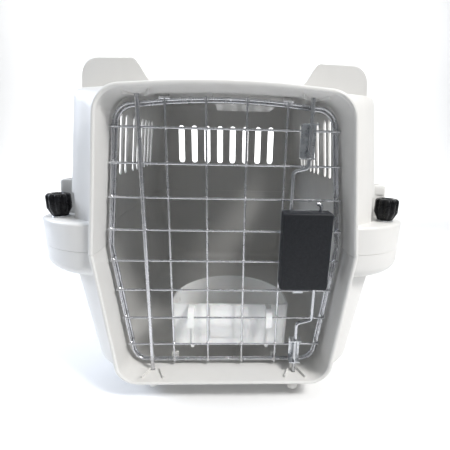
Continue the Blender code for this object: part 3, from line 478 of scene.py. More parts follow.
def soften(obj, width, segments=2, angle=34):
    """Round every sharp edge with a bevel."""
    bevel = obj.modifiers.new("edge_rounding", "BEVEL")
    bevel.width = width
    bevel.segments = segments
    bevel.limit_method = "ANGLE"
    bevel.angle_limit = radians(angle)
    bevel.harden_normals = True
    bevel.use_clamp_overlap = True


def clean(obj, material):
    """Weld the slivers that Booleans leave, then set material and shading."""
    bm = bmesh.new()
    bm.from_mesh(obj.data)
    bmesh.ops.remove_doubles(bm, verts=bm.verts, dist=WELD_GAP)
    bmesh.ops.dissolve_degenerate(bm, edges=bm.edges, dist=WELD_GAP)
    bm.to_mesh(obj.data)
    bm.free()
    obj.data.materials.clear()
    obj.data.materials.append(material)
    obj.data.shade_smooth()
    obj.data.set_sharp_from_angle(angle=SMOOTH_ANGLE)
    return obj


def join(name, parts):
    """Merge several objects into one named piece."""
    bm = bmesh.new()
    for part in parts:
        bm.from_mesh(part.data)
    material = parts[0].data.materials[0]
    for part in parts:
        bpy.data.objects.remove(part, do_unlink=True)
    return new_object(name, bm, material)


def stand_in(obj, body, slot, *nodes):
    """obj rides on a body and stands for CAD nodes, which are hidden; the slot argument is not used."""
    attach(obj, body)
    if nodes:
        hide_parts(*nodes)


# ------------------------------ shells


def roof_shares():
    """Places across the flat roof, dense where the scoop's sides slope."""
    top, low = SCOOP_SIDE
    half = evenly(top, low, 6) + [low * (1 - k / 6) for k in range(1, 7)]
    return half + [-share for share in reversed(half[:-1])]


def ring(y, section, arch, inset=0.0, dip=0.0, widen=0.0):
    """Cross-section at y: rounded corners, widest at the seam, arched roof with a sunk middle."""
    (foot_x, foot_z, foot_r), (seam_x, seam_z), (top_x, top_z, top_r) = section
    foot_x, foot_z = foot_x - inset, foot_z + inset
    seam_x = seam_x - inset
    top_x, top_z = top_x - inset, top_z - inset
    half = [(foot_x, foot_z, foot_r), (seam_x, seam_z, 0), (top_x, top_z, top_r)]
    outline = rounded(half + [(-x, z, r) for x, z, r in reversed(half)], steps=12)
    right, left = outline[:len(outline) // 2], outline[len(outline) // 2:]
    flat = top_x - top_r
    top, low = SCOOP_SIDE
    roof = []
    for share in roof_shares():
        sunk = dip * smooth_step((top - abs(share)) / (top - low))
        shift = widen * (1 if share > 0 else -1) if abs(share) >= low else 0.0
        roof.append((share * flat + shift, top_z + arch * (1 - share ** 2) - sunk))
    return [(x, y, z) for x, z in right + roof + left]


def between(first, second, t):
    """Section part of the way from one section to another."""
    return tuple(tuple(a + (b - a) * t for a, b in zip(p, q)) for p, q in zip(first, second))


def grown(section, by):
    """A section moved inwards by a wall thickness."""
    (foot_x, foot_z, foot_r), (seam_x, seam_z), (top_x, top_z, top_r) = section
    return ((foot_x - by, foot_z + by, foot_r - by), (seam_x - by, seam_z),
            (top_x - by, top_z - by, top_r - by))


def body_rings(section, back_y, widen=0.0):
    """Body from behind the collar to the back wall: scoop, straight run, rounded end."""
    rings = []
    near, far = SCOOP_SPAN
    for k in range(13):
        run = near + (far - near) * k / 12
        dip = SCOOP_DEPTH * (1 - smooth_step(k / 12))
        rings.append(ring(DOOR_Y + run, section, ROOF_ARCH, dip=dip, widen=widen))
    length, depth = END_ROUND
    for along, across in quarter(8):
        rings.append(ring(back_y - length * along, section, ROOF_ARCH, inset=depth * across, widen=widen))
    return rings


def collar_rings():
    """Rolled rim, short neck, then the flare out to the frame."""
    roll = 0.0020
    rings = [ring(FRONT_Y + roll * along, RIM_OUTER, RIM_ARCH, inset=roll * across)
             for along, across in reversed(quarter(5))]
    rings += [ring(FRONT_Y + 0.0038, RIM_OUTER, RIM_ARCH),
              ring(FRONT_Y + 0.0046, RIM_OUTER, RIM_ARCH, inset=0.0005),
              ring(FRONT_Y + 0.0052, NECK_OUTER, RIM_ARCH)]
    start, stop = FRONT_Y + 0.0135, DOOR_Y + 0.0120
    for k in range(13):
        t = k / 12
        out = t - 0.045 * sin(2 * pi * t)
        rings.append(ring(start + (stop - start) * t, between(NECK_OUTER, FRAME_OUTER, out),
                          RIM_ARCH + (FRAME_ARCH - RIM_ARCH) * out))
    rings += [ring(DOOR_Y + 0.0150, FRAME_OUTER, FRAME_ARCH),
              ring(DOOR_Y + 0.0160, FRAME_OUTER, FRAME_ARCH, inset=0.0004),
              ring(DOOR_Y + 0.0165, FRAME_OUTER, FRAME_ARCH, inset=0.0012)]
    return rings


def cabin_tool():
    """Space inside the walls: the hollow behind the flare, then the cabin."""
    inner = grown(BODY_OUTER, WALL)
    step_y = DOOR_Y + 0.0185
    rings = [ring(FRONT_Y + 0.0190, FLARE_FRONT, RIM_ARCH), ring(DOOR_Y + 0.0110, FLARE_BACK, RIM_ARCH),
             ring(DOOR_Y + 0.0150, FLARE_EXIT, RIM_ARCH), ring(step_y - 0.0015, FLARE_EXIT, RIM_ARCH),
             ring(step_y, inner, ROOF_ARCH, inset=0.0032, dip=SCOOP_DEPTH, widen=SCOOP_WALL)]
    return loft("cabin", rings + body_rings(inner, BODY_BACK_Y - WALL, SCOOP_WALL))


def tunnel_tool():
    """Doorway with a rounded lip inside the rim."""
    lip = 0.0014
    rings = [ring(FRONT_Y - 0.004, RIM_INNER, RIM_ARCH, inset=-lip)]
    for k in range(5):
        turn = radians(90) * k / 4
        rings.append(ring(FRONT_Y + lip * sin(turn), RIM_INNER, RIM_ARCH, inset=-lip * (1 - sin(turn))))
    rings += [ring(DOOR_Y - 0.0120, TUNNEL_INNER, RIM_ARCH), ring(DOOR_Y + 0.0195, TUNNEL_INNER, RIM_ARCH)]
    return loft("tunnel", rings)


def pod_outline(side, end, inset=0.0, inner=POD_IN):
    """Plan of one bolt pod: square against the body, a wide curve round its outer end."""
    out, curve = POD_OUT - inset, POD_CURVE - inset
    start, stop = (degrees(acos((x - POD_CENTRE[0]) / curve)) for x in (out, inner))
    curved = arc(POD_CENTRE, curve, start, stop, 20)
    low = POD_INNER_Y + inset
    outline = rounded([(inner, low, 0), (out, low, POD_RADIUS - inset), (*curved[0], 0)], steps=12)
    return [(side * x, end * y) for x, y in outline[:-1] + curved]


def pod_solid(side, end):
    """Bolt pod: rounded belly, crowned top edge."""
    (bottom, top), (rise, inset) = POD_Z, POD_BELLY
    steps = [(bottom + rise * k / 10, inset * (1 - k / 10) ** 2.9) for k in range(11)]
    steps += [(top - POD_CROWN * along, POD_CROWN * across) for along, across in quarter(4)]
    return loft("pod", [[(x, y, z) for x, y in pod_outline(side, end, shrink)] for z, shrink in steps])


def pod_pocket(side, end):
    """Hollow inside a pod, leaving a column round the bolt."""
    outline = pod_outline(side, end, WALL, POCKET_IN)
    pocket = prism("pocket", outline, POD_Z[0] + POD_BELLY[0], POD_Z[1] - POD_CROWN)
    x, y = side * KNOB.x, -end * KNOB.y
    boolean(pocket, cylinder("column", (x, y, POD_Z[0]), (x, y, POD_Z[1]), COLUMN_R))
    return pocket


def slot_tool(centre, axis, slot, depth):
    """Round-ended upright vent (width, bottom, top), cut along an axis."""
    width, low, high = slot
    radius = width / 2
    outline = (arc((centre, high - radius), radius, 0, 180, 12)
               + arc((centre, low + radius), radius, 180, 360, 12))
    return prism("slot", outline, *depth, axis=axis)


def seam_flange():
    """Lip round the sides and back where the shells meet."""
    half, front = BODY_OUTER[1][0] + FLANGE_REACH, DOOR_Y + 0.014
    corners = [(-half, front, 0), (half, front, 0), (half, BACK_Y, FLANGE_CORNER),
               (-half, BACK_Y, FLANGE_CORNER)]
    return prism("flange", rounded(corners), SEAM_Z - FLANGE_HALF, SEAM_Z + FLANGE_HALF)


def tie_post(side, end):
    """Post behind each knob, tapering a little to its rounded top."""
    rings = []
    for z, shrink in POST_STEPS:
        out, half = POST_X[1] - shrink, POST_HALF - shrink
        corners = [(POST_X[0], -half, 0), (out, -half, 0.004), (out, half, 0.004), (POST_X[0], half, 0)]
        rings.append([(side * x, end * POST_Y + y, z) for x, y in rounded(corners, steps=6)])
    return loft("post", rings)


def gusset(side, spread, low, high):
    """One leg of the V of ribs round a rod hole."""
    near, far = RIB_SPREAD
    start = Vector((side * LATCH.x + spread * near, DOOR_Y - 0.005))
    end = Vector((side * LATCH.x + spread * far, FRONT_Y + 0.008))
    across = (end - start).orthogonal().normalized() * RIB_HALF
    outline = [tuple(p) for p in (start - across, end - across, end + across, start + across)]
    return prism("gusset", outline, low, high)


def handle_well(whole):
    """Recess in the roof for the folded handle, with pin holes in its end walls."""
    (x0, x1), half, floor = WELL_X, WELL_HALF, WELL_FLOOR
    boolean(whole, block("well", (x0 - WALL, x1 + WALL), (-half - WALL, half + WALL),
                         (floor - WALL, ROOF_Z - 0.001)), "UNION")
    corners = rectangle(WELL_X, (-half, half), WELL_CORNER)
    boolean(whole, prism("well_hollow", rounded(corners, steps=5), floor, TOP_Z + 0.01))
    z = middle("handle_pin_front").z
    boolean(whole, cylinder("pins", (0, -half - 0.01, z), (0, half + 0.01, z), BORE_R))


def rod_holes():
    """Place and radius of the hinge rod and of the latch rods."""
    return ((HINGE.x, HINGE.y, HINGE_R), (LATCH.x, LATCH.y, ROD_R))


def shell_block():
    """Both mouldings in one, before they are parted at the seam."""
    whole = loft("whole", collar_rings())
    skin = [ring(DOOR_Y + 0.0155, BODY_OUTER, ROOF_ARCH, inset=0.004, dip=SCOOP_DEPTH)]
    boolean(whole, loft("body", skin + body_rings(BODY_OUTER, BODY_BACK_Y)), "UNION")
    boolean(whole, seam_flange(), "UNION")
    for side, end in PODS:
        boolean(whole, pod_solid(side, end), "UNION")
        boolean(whole, tie_post(side, end), "UNION")
    for side in (-1, 1):
        for across, along, upwards in (SKID, ROOF_RIB):
            boolean(whole, block("rail", [side * x for x in across], along, upwards), "UNION")
    boolean(whole, cabin_tool())
    for x, y, _ in rod_holes():
        boolean(whole, cylinder("socket", (x, y, SOCKET_Z), (x, y, BOSS_ENDS[0]), BOSS_R), "UNION")
        boolean(whole, cylinder("cap", (x, y, BOSS_ENDS[1]), (x, y, CAP_Z), BOSS_R), "UNION")
    wall = [ring(y, TUNNEL_INNER, RIM_ARCH, inset=-WALL) for y in (FRONT_Y + 0.0060, DOOR_Y + 0.0170)]
    boolean(whole, loft("tunnel_wall", wall), "UNION")
    boolean(whole, tunnel_tool())
    for side in (-1, 1):
        for spread in (-1, 1):
            for low, high in RIB_Z:
                boolean(whole, gusset(side, spread, low, high), "UNION")
        stop_y = (BACK_LOOP_Y + LOOP_R + GAP, DOOR_Y + 0.0170)
        for height in STOP_Z:
            boolean(whole, block("stop", [side * x for x in STOP_X], stop_y, height), "UNION")
    handle_well(whole)
    return whole


def cut_details(whole):
    """Pod hollows, bolt and tie holes, knob clearances, vents and rod holes."""
    for side, end in PODS:
        x, y = side * KNOB.x, -end * KNOB.y
        (bottom, top), tie = POD_Z, (side * TIE_X, end * POST_Y)
        boolean(whole, pod_pocket(side, end))
        boolean(whole, cylinder("bolt_hole", (x, y, bottom - 0.01), (x, y, top + 0.01), BORE_R))
        boolean(whole, cylinder("counterbore", (x, y, bottom - 0.01), (x, y, HEAD_SEAT_Z), HEAD_RECESS_R))
        boolean(whole, cylinder("scallop", (x, y, top + 0.0001), (x, y, top + SCALLOP_HEIGHT), SCALLOP_R, 48))
        boolean(whole, cylinder("tie_hole", (*tie, TIE_Z[0]), (*tie, TIE_Z[1]), TIE_R))
    last_front = REAR_SLOTS_Y - WIDE_RIB * SIDE_PITCH
    rows = [last_front - i * SIDE_PITCH for i in range(5)] + [REAR_SLOTS_Y + i * SIDE_PITCH for i in range(6)]
    for y in rows:
        boolean(whole, slot_tool(y, "X", SIDE_SLOT, (-0.20, 0.20)))
    for i in range(8):
        boolean(whole, slot_tool((i - 3.5) * BACK_PITCH + BACK_SHIFT, "Y", BACK_SLOT, (0.22, 0.30)))
    for x, y, radius in rod_holes():
        for low, high in ((SOCKET_Z + 0.003, 0.035), (0.330, CAP_Z - 0.002)):
            boolean(whole, cylinder("rod_hole", (x, y, low), (x, y, high), radius + ROD_CLEARANCE))


def build_shells(material):
    """Lower and upper moulding, parted at the seam."""
    whole = shell_block()
    cut_details(whole)
    for name, low, high in (("lower_shell", -0.05, SEAM_Z - GAP / 2),
                            ("upper_shell", SEAM_Z + GAP / 2, TOP_Z + 0.05)):
        shell = bpy.data.objects.new(name + "_moulding", whole.data.copy())
        bpy.context.scene.collection.objects.link(shell)
        boolean(shell, block("half", (-0.4, 0.4), (-0.4, 0.4), (low, high)), "INTERSECT")
        soften(clean(shell, material), 0.0006)
        stand_in(shell, "shells", "shell_plastic", name)
    bpy.data.objects.remove(whole, do_unlink=True)


# ------------------------------ wires


def tube(name, points, radius, material, sides=14, closed=False):
    """Round wire along points, with rounded-over ends."""
    points = [Vector(p) for p in points]
    count = len(points)
    rings, side = [], None
    for i, point in enumerate(points):
        before = points[i - 1] if closed or i else point
        after = points[(i + 1) % count] if closed or i < count - 1 else point
        along = (after - before).normalized()
        side = along.orthogonal() if side is None else side - along * side.dot(along)
        side = side.normalized()
        up = along.cross(side)
        if not closed and i in (0, count - 1):
            sign = 1 if i == 0 else -1
            caps = [(sign * radius * 0.45 * (1 - sin(a)), radius * (0.45 + 0.55 * cos(radians(90) - a)))
                    for a in (radians(15), radians(50), radians(90))]
            caps = caps if i == 0 else caps[::-1]
        else:
            caps = [(0.0, radius)]
        for shift, reach in caps:
            centre = point + along * shift
            rings.append([centre + reach * (cos(2 * pi * k / sides) * side + sin(2 * pi * k / sides) * up)
                          for k in range(sides)])
    return loft(name, rings, material, closed=closed)


def door_loop(inset_side=0.0, inset_top=0.0):
    """Perimeter of the door at its wire centre, as (x, z) points."""
    foot, (seam_x, seam_z), (top_x, top_z, top_r) = DOOR_OUTLINE
    section = ((foot[0] - inset_side, foot[1], foot[2]), (seam_x - inset_side, seam_z),
               (top_x - inset_side, top_z - inset_top, top_r))
    return [(x, z) for x, _, z in ring(0.0, section, DOOR_ARCH)]


def crossing(outline, value, along, across):
    """Largest coordinate 'across' where a closed outline passes 'value' on axis 'along'."""
    best = None
    for here, after in zip(outline, outline[1:] + outline[:1]):
        low, high = sorted((here[along], after[along]))
        if low <= value <= high and high > low:
            share = (value - here[along]) / (after[along] - here[along])
            found = here[across] + share * (after[across] - here[across])
            best = found if best is None else max(best, found)
    return best


def weld(x, y, z, size, material):
    """Flattened lump of metal where two wires are fused."""
    rings = []
    for k in range(6):
        turn = radians(-80 + 160 * k / 5)
        reach = size * cos(turn) * (1.0 + 0.12 * sin(5 * k))
        rings.append([(x + reach * 1.15 * cos(2 * pi * i / 10), y + size * 0.8 * sin(turn),
                       z + reach * 0.95 * sin(2 * pi * i / 10)) for i in range(10)])
    return loft("weld", rings, material)


def door_wire(name, points, radius, material, node, **shape):
    """Tube that moves with the door and stands for one CAD wire."""
    stand_in(tube(name, points, radius, material, **shape), "door", "plated_wire", node)


def build_grid(material, bright):
    """Door panel: two loops, eight cross wires, four uprights, two edge wires, and their welds."""
    outline = door_loop()
    outer = [(x, FRONT_LOOP_Y, z) for x, z in outline]
    door_wire("outer_loop_wire", outer, LOOP_R, material, "front_loop", closed=True)
    inner = [(x, BACK_LOOP_Y, z) for x, z in door_loop(0.0015, 0.0024)]
    door_wire("inner_loop_wire", inner, LOOP_R, material, "back_loop", closed=True)
    welds = []
    for i, z in enumerate(WIRE_ZS):
        node = "horizontal_wire_%d" % (i + 1)
        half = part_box(node)[1].x
        line = [(x, DOOR_Y, z) for x in evenly(-half, half, 8)]
        door_wire("cross_wire_%d" % (i + 1), line, WIRE_R, material, node)
        # welds and wire-end bars use a brighter copy of the wire finish, a painted highlight
        welds += [weld(x, (DOOR_Y + VERTICAL_Y) / 2, z, CROSS_WELD, bright) for x in VERTICAL_XS]
        edge = crossing(outline, z, 1, 0)
        edge_y = (DOOR_Y + FRONT_LOOP_Y) / 2 + 0.0006
        welds += [weld(side * edge, edge_y, z, EDGE_WELD, bright) for side in (-1, 1)]
    for i, x in enumerate(VERTICAL_XS):
        node = "vertical_wire_%d" % (i + 1)
        low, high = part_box(node)
        line = [(x, VERTICAL_Y, z) for z in evenly(low.z, high.z, 8)]
        door_wire("upright_wire_%d" % (i + 1), line, WIRE_R, material, node)
        welds += [weld(x, (VERTICAL_Y + FRONT_LOOP_Y) / 2, z, END_WELD, bright)
                  for z in (low.z + WIRE_OVERHANG, high.z - WIRE_OVERHANG)]
        if i in (0, 3):
            bar_z = high.z - 0.0004
            bar = [(x + k * BAR_STEP, VERTICAL_Y, bar_z) for k in (-2, -1, 0, 1, 2)]
            welds.append(tube("bar", bar, WIRE_R, bright))
    for side, word in ((-1, "left"), (1, "right")):
        path = [(side * (crossing(outline, z, 1, 0) + 0.0002), VERTICAL_Y, z)
                for z in evenly(*EDGE_WIRE_Z, 14)]
        door_wire("edge_wire_" + word, path, WIRE_R, material, "side_wire_" + word)
    top = crossing(outline, LOOP_JOIN_X, 0, 1)
    welds += [weld(LOOP_JOIN_X, FRONT_LOOP_Y, z, END_WELD, bright) for z in (DOOR_OUTLINE[0][1], top)]
    stand_in(join("wire_welds", welds), "door", "plated_wire")
    low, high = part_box("hinge_rod")
    line = [(HINGE.x, HINGE.y, z) for z in evenly(low.z, high.z, 12)]
    door_wire("hinge_rod_wire", line, HINGE_R, material, "hinge_rod", sides=20)


def bent(points, radius, steps=7):
    """Open (x, z) path with its inner corners rounded."""
    path = [points[0]]
    for i in range(1, len(points) - 1):
        corner = rounded([points[i - 1] + (0,), points[i] + (radius,), points[i + 1] + (0,)], steps)
        path += corner[1:-1]
    return path + [points[-1]]


def build_rods(material):
    """Latch rods, both cranked, the lower one hooked over at its top."""
    up_low, up_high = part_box("upper_rod")
    down_low, down_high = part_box("lower_rod")
    up_x, down_x = up_low.x + ROD_R, down_high.x - ROD_R
    upper = bent([(up_x, up_low.z), (up_x, UPPER_JOG_Z[0]), (LATCH.x, UPPER_JOG_Z[1]),
                  (LATCH.x, up_high.z)], ROD_BEND)
    hook_z = down_high.z - ROD_R
    lower = bent([(down_x - ROD_HOOK, hook_z), (down_x, hook_z), (down_x, LOWER_JOG_Z[0]),
                  (LATCH.x, LOWER_JOG_Z[1]), (LATCH.x, down_low.z)], ROD_BEND)
    for name, path, node, body in (("upper_latch_rod", upper, "upper_rod", "upper_latch"),
                                   ("lower_latch_rod", lower, "lower_rod", "lower_latch")):
        line = [(x, LATCH.y, z) for x, z in path]
        stand_in(tube(name, line, ROD_R, material, sides=20), body, "plated_wire", node)


# ------------------------------ latch, knobs, handle, bowl


def build_latch_cover(material):
    """Charcoal cover: domed edges, open back, screw bosses inside and ways for the rods."""
    low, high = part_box("latch_cover")
    dome = [(low.y + COVER_DOME * along, COVER_DOME * across) for along, across in reversed(quarter(6))]
    levels = []
    for y, inset in dome + [(high.y, 0.0)]:
        corners = rectangle((low.x + inset, high.x - inset), (low.z + inset, high.z - inset), COVER_CORNER)
        levels.append([(x, y, z) for x, z in rounded(corners, steps=5)])
    cover = loft("latch_housing", levels, material)
    wall = COVER_WALL
    boolean(cover, block("hollow", (low.x + wall, high.x - wall), (low.y + wall, high.y + 0.01),
                         (low.z + wall, high.z - wall)))
    for z in (middle("latch_screw_lower").z, middle("latch_screw_upper").z):
        boss = cylinder("boss", (SCREW_X, low.y + 0.001, z), (SCREW_X, high.y - GAP, z), 0.0030)
        boolean(cover, boss, "UNION")
        boolean(cover, cylinder("pilot", (SCREW_X, low.y + 0.006, z), (SCREW_X, high.y + 0.01, z), 0.0016))
    up_x, down_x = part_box("upper_rod")[0].x + ROD_R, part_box("lower_rod")[1].x - ROD_R
    for x, ends in ((up_x, (high.z,)), (down_x, (low.z, high.z))):
        for z in ends:
            boolean(cover, cylinder("rod_way", (x, LATCH.y, z - 0.005), (x, LATCH.y, z + 0.005),
                                    ROD_R + ROD_CLEARANCE))
    soften(clean(cover, material), 0.0004)
    stand_in(cover, "door", "latch_plastic", "latch_cover")


def turned(name, profile, place, material, sides=64, flutes=0):
    """Ring-shaped solid of revolution about a vertical axis from (radius, z, flute depth) points."""
    rings = []
    for radius, z, depth in profile:
        points = []
        for i in range(sides):
            angle = 2 * pi * i / sides
            wave = (0.5 - 0.5 * cos(flutes * angle)) ** 1.6 if flutes else 0.0
            reach = radius - depth * wave
            points.append((place[0] + reach * cos(angle), place[1] + reach * sin(angle), z))
        rings.append(points)
    return loft(name, rings, material, closed=True)


def build_knob(node, plastic, metal):
    """Thumb knob with ten scooped flutes, a chamfered foot and a steel insert."""
    low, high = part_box(node)
    place = ((low.x + high.x) / 2, (low.y + high.y) / 2)
    radius, bore, z0, z1 = (high.x - low.x) / 2, 0.0034, low.z, high.z
    flute = 0.0015
    profile = [(bore, z0, 0), (radius - 0.0050, z0, 0), (radius - 0.0042, z0 + 0.0004, 0.0004),
               (radius - 0.0006, z0 + 0.0072, flute), (radius, z0 + 0.0086, flute),
               (radius, z1 - 0.0034, flute), (radius - 0.0003, z1 - 0.0020, flute),
               (radius - 0.0011, z1 - 0.0009, flute * 0.8), (radius - 0.0024, z1 - 0.0002, flute * 0.5),
               (radius - 0.0040, z1, 0.0002), (radius - 0.0065, z1 - 0.0002, 0),
               (bore + 0.0022, z1 - 0.0010, 0), (bore + 0.0016, z1 - 0.0022, 0), (bore, z1 - 0.0026, 0)]
    knob = turned(node + "_grip", profile, place, plastic, sides=120, flutes=10)
    stand_in(knob, node, "black_plastic", node)
    insert = turned(node + "_insert", [(bore - 0.0002, z1 - 0.0080, 0), (bore + 0.0012, z1 - 0.0080, 0),
                                       (bore + 0.0012, z1 - 0.0021, 0), (bore + 0.0009, z1 - 0.0018, 0),
                                       (bore, z1 - 0.0018, 0), (bore - 0.0002, z1 - 0.0021, 0)],
                    place, metal, sides=32)
    stand_in(insert, node, "steel")


def build_handle(material):
    """Folding bail with rounded edges and finger grooves under the grip."""
    low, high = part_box("carry_handle")
    mid_z = (low.z + high.z) / 2
    reach, half = high.x, high.y
    inner_x, arm = reach - GRIP_WIDTH, half - ARM_WIDTH
    corners = [(low.x, -half, 0.006), (reach, -half, 0.018), (reach, half, 0.018), (low.x, half, 0.006),
               (low.x, arm, 0.006), (inner_x, arm, 0.006), (inner_x, -arm, 0.006), (low.x, -arm, 0.006)]
    handle = prism("carry_handle_bail", rounded(corners), low.z, high.z, material=material)
    for end in (-1, 1):
        bore = cylinder("bore", (0, end * (arm - 0.005), mid_z), (0, end * (half + 0.005), mid_z), BORE_R)
        boolean(handle, bore)
    for k in range(9):
        y, z = (k - 4) * GROOVE_PITCH, low.z - GROOVE_DROP
        boolean(handle, cylinder("groove", (inner_x - 0.003, y, z), (reach + 0.003, y, z), GROOVE_R))
    soften(clean(handle, material), 0.0024, segments=4, angle=50)
    stand_in(handle, "handle", "handle_plastic", "carry_handle")


def bowl_outline(inset):
    """Plan of the bowl: flat towards the door, half an ellipse towards the cabin."""
    half, depth = BOWL_HALF - inset, BOWL_DEPTH - BOWL_SHOULDER - inset
    front, shoulder = BOWL_FRONT + inset, BOWL_FRONT + BOWL_SHOULDER
    corner = BOWL_CORNER - inset / 2
    right = rounded([(0, front, 0), (half, front, corner), (half, shoulder, 0)])[1:-1]
    curve = [(half * cos(pi * i / 40), shoulder + depth * sin(pi * i / 40)) for i in range(41)]
    left = [(-x, y) for x, y in reversed(right)]
    return [(BOWL_X + x, y) for x, y in right + curve + left]


def hook_outline(top):
    """Side view of a hook: from the bowl's top edge over a door wire and down its front."""
    wire_z = WIRE_ZS[1]
    bridge, foot = wire_z + WIRE_R + GAP, wire_z - HOOK_DROP
    inside, front, thick = BOWL_FRONT + 0.0018, DOOR_Y - WIRE_R - GAP, HOOK_THICK
    return rounded([(inside, bridge, 0), (front, bridge, 0.0006), (front, foot, 0.0004),
                    (front - thick, foot, 0.0010), (front - thick, bridge + 0.0005, 0.0010),
                    (front, bridge + 0.0050, 0.0030), (front + 0.0060, top - 0.0010, 0.0030),
                    (BOWL_FRONT + 0.0005, top, 0), (inside, top, 0)], steps=5)


def build_bowl(material):
    """Clip-on bowl: upright wall, raised front panel with V ribs, hooks with nubbed ribs under them."""
    foot, high = (corner.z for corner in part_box("bowl"))
    low = foot + 0.0013                # the nubs hang lower than the dish
    levels = [(low, 0.0032), (low + 0.0005, 0.0020), (low + 0.0014, 0.0011), (high - 0.0010, 0.0),
              (high - 0.0003, 0.0003), (high, 0.0008)]
    bowl = loft("bowl_dish", [[(x, y, z) for x, y in bowl_outline(inset)] for z, inset in levels], material)
    hollow = [(low + 0.0025, 0.0052), (low + 0.0032, 0.0042), (low + 0.0046, 0.0034),
              (high - 0.0006, 0.0025), (high + 0.003, 0.0018)]
    boolean(bowl, loft("hollow", [[(x, y, z) for x, y in bowl_outline(inset)] for z, inset in hollow]))
    proud = (BOWL_FRONT - 0.0010, BOWL_FRONT + 0.0010)
    boolean(bowl, block("panel", PANEL_X, proud, (PANEL_Z, high - 0.0010)), "UNION")
    for edge, lean in zip(PANEL_X, (1, -1)):
        leg = [(edge, high - 0.003), (edge + lean * V_RIB_TOP, high - 0.003),
               (edge + lean * V_RIB_FOOT, V_RIB_Z), (edge, V_RIB_Z)]
        boolean(bowl, prism("v_rib", leg, BOWL_FRONT - 0.0016, BOWL_FRONT, axis="Y"), "UNION")
    for x in HOOKS_X:
        boolean(bowl, prism("hook", hook_outline(high), x - HOOK_HALF, x + HOOK_HALF, axis="X"), "UNION")
        boolean(bowl, block("rib", (x - 0.0010, x + 0.0010), proud, (low + 0.002, 0.099)), "UNION")
        boolean(bowl, cylinder("nub", (x, BOWL_FRONT - 0.0010, low + 0.0010),
                               (x, BOWL_FRONT + 0.0060, low + 0.0010), NUB_R), "UNION")
    soften(clean(bowl, material), 0.0004)
    stand_in(bowl, "bowl", "bowl_plastic", "bowl")


def finish_nodes(names, material):
    """CAD nodes that keep their shape; the edges of the sheet parts and washers are rounded."""
    thin = ("washer_", "latch_clamp_", "upper_rod_guide", "lower_rod_guide", "latch_back")
    for name in names:
        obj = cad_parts[name]
        obj.data.materials.clear()
        obj.data.materials.append(material)
        if name.startswith(thin):
            merge = obj.modifiers.new("join_corners", "WELD")
            merge.merge_threshold = WELD_GAP
            soften(obj, 0.00025)


def steel_nodes():
    """Fasteners, brackets, plate and springs."""
    prefixes = ("bolt_", "washer_", "handle_pin_", "latch_screw_", "latch_clamp_")
    return [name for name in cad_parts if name.startswith(prefixes)] + [
        "latch_back_plate", "upper_rod_guide", "lower_rod_guide", "upper_spring", "lower_spring"]


# ------------------------------ studio


def build_floor():
    """Pale floor curving up behind the object."""
    profile = [(-6.0, 0.0), (2.2, 0.0)] + arc((2.2, 1.4), 1.4, -90, 0, 14)[1:] + [(3.6, 6.0)]
    rings = [[(x, y, z) for y, z in profile] for x in (-6.0, 6.0)]
    bm = bmesh.new()
    rows = [[bm.verts.new(p) for p in row] for row in rings]
    for i in range(len(profile) - 1):
        bm.faces.new((rows[0][i], rows[1][i], rows[1][i + 1], rows[0][i + 1]))
    floor = new_object("studio_floor", bm, floor_surface())


def area_light(name, place, target, size, power, colour):
    """Round area light, its size in metres and its power in watts."""
    data = bpy.data.lights.new(name, "AREA")
    data.shape = "DISK"
    data.size = size
    data.energy = power
    data.color = colour
    light = bpy.data.objects.new(name, data)
    light.location = place
    light.rotation_euler = (Vector(target) - Vector(place)).to_track_quat("-Z", "Y").to_euler()
    bpy.context.scene.collection.objects.link(light)


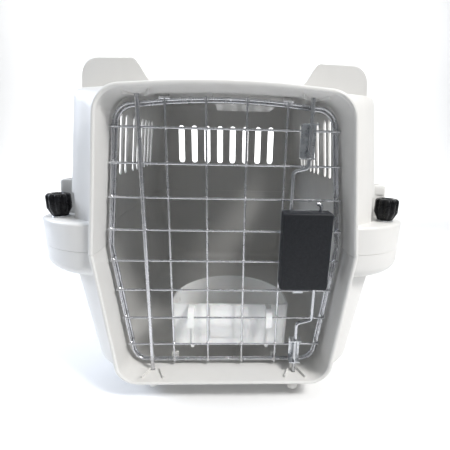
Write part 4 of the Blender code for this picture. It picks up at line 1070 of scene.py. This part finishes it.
def build_lights():
    """Key from the upper right, broad light from above, cool rim from the left, lit backdrop."""
    bpy.context.scene.view_settings.view_transform = "Standard"
    world = bpy.data.worlds.new("studio")
    world.use_nodes = True
    sky = world.node_tree.nodes["Background"].inputs
    sky["Color"].default_value = (0.92, 0.96, 1.0, 1.0)
    sky["Strength"].default_value = 0.24
    bpy.context.scene.world = world
    area_light("key", (1.15, -1.20, 1.80), (0, -0.1, 0.18), 0.60, 44.0, (1.0, 0.99, 0.98))
    area_light("top", (0.0, -0.1, 2.3), (0, -0.1, 0), 1.8, 14.0, (0.98, 0.99, 1.0))
    area_light("rim", (-1.7, 0.1, 1.0), (-0.1, 0.0, 0.2), 0.9, 30.0, (0.80, 0.87, 1.0))
    area_light("backdrop", (0.0, 1.5, 1.8), (0.0, 3.6, 0.9), 1.6, 105.0, (1.0, 1.0, 1.0))


def build_camera():
    """Camera in front of the doorway, near the height of its top, looking in and down."""
    data = bpy.data.cameras.new("camera")
    data.sensor_width = 36.0
    data.lens = 28.71
    data.shift_x, data.shift_y = -0.0389, 0.0667
    data.clip_start, data.clip_end = 0.02, 30.0
    camera = bpy.data.objects.new("camera", data)
    pitch, yaw, roll = radians(17.45), radians(2.72), radians(-1.38)
    forward = Vector((sin(yaw) * cos(pitch), cos(yaw) * cos(pitch), -sin(pitch)))
    level = Vector((cos(yaw), -sin(yaw), 0.0))
    down = forward.cross(level)
    right = cos(roll) * level + sin(roll) * down
    up = -(-sin(roll) * level + cos(roll) * down)
    camera.matrix_world = Matrix.Translation((0.0008, -0.6194, 0.2942)) @ Matrix(
        (right, up, -forward)).transposed().to_4x4()
    bpy.context.scene.collection.objects.link(camera)
    bpy.context.scene.camera = camera


def main():
    for obj in [o for o in bpy.data.objects if o.type in ("LIGHT", "CAMERA")]:
        bpy.data.objects.remove(obj, do_unlink=True)
    plastic, black, metal = shell_surface(), knob_surface(), sheet_surface()
    wire = wire_surface("plated_wire", (0.66, 0.665, 0.69), (0.58, 0.585, 0.60), (1, 1, 1))
    rod = wire_surface("plated_rod", (0.60, 0.61, 0.63), (0.52, 0.53, 0.55), (1, 1, 0.12))
    latch = latch_surface()
    build_shells(plastic)
    # welds and bent wire ends get a brighter copy of the wire finish: painted highlight
    build_grid(wire, wire_surface("painted_highlight_metal", (0.86, 0.865, 0.88), (0.66, 0.66, 0.68), (1, 1, 1)))
    build_rods(rod)
    build_latch_cover(latch)
    for side, end in PODS:
        tag = ("front" if end < 0 else "rear") + ("_left" if side < 0 else "_right")
        build_knob("knob_" + tag, black, metal)
    build_handle(handle_surface())
    build_bowl(bowl_surface())
    finish_nodes(steel_nodes(), metal)
    finish_nodes(("upper_slide", "lower_slide"), latch)
    build_floor()
    build_lights()
    build_camera()


main()
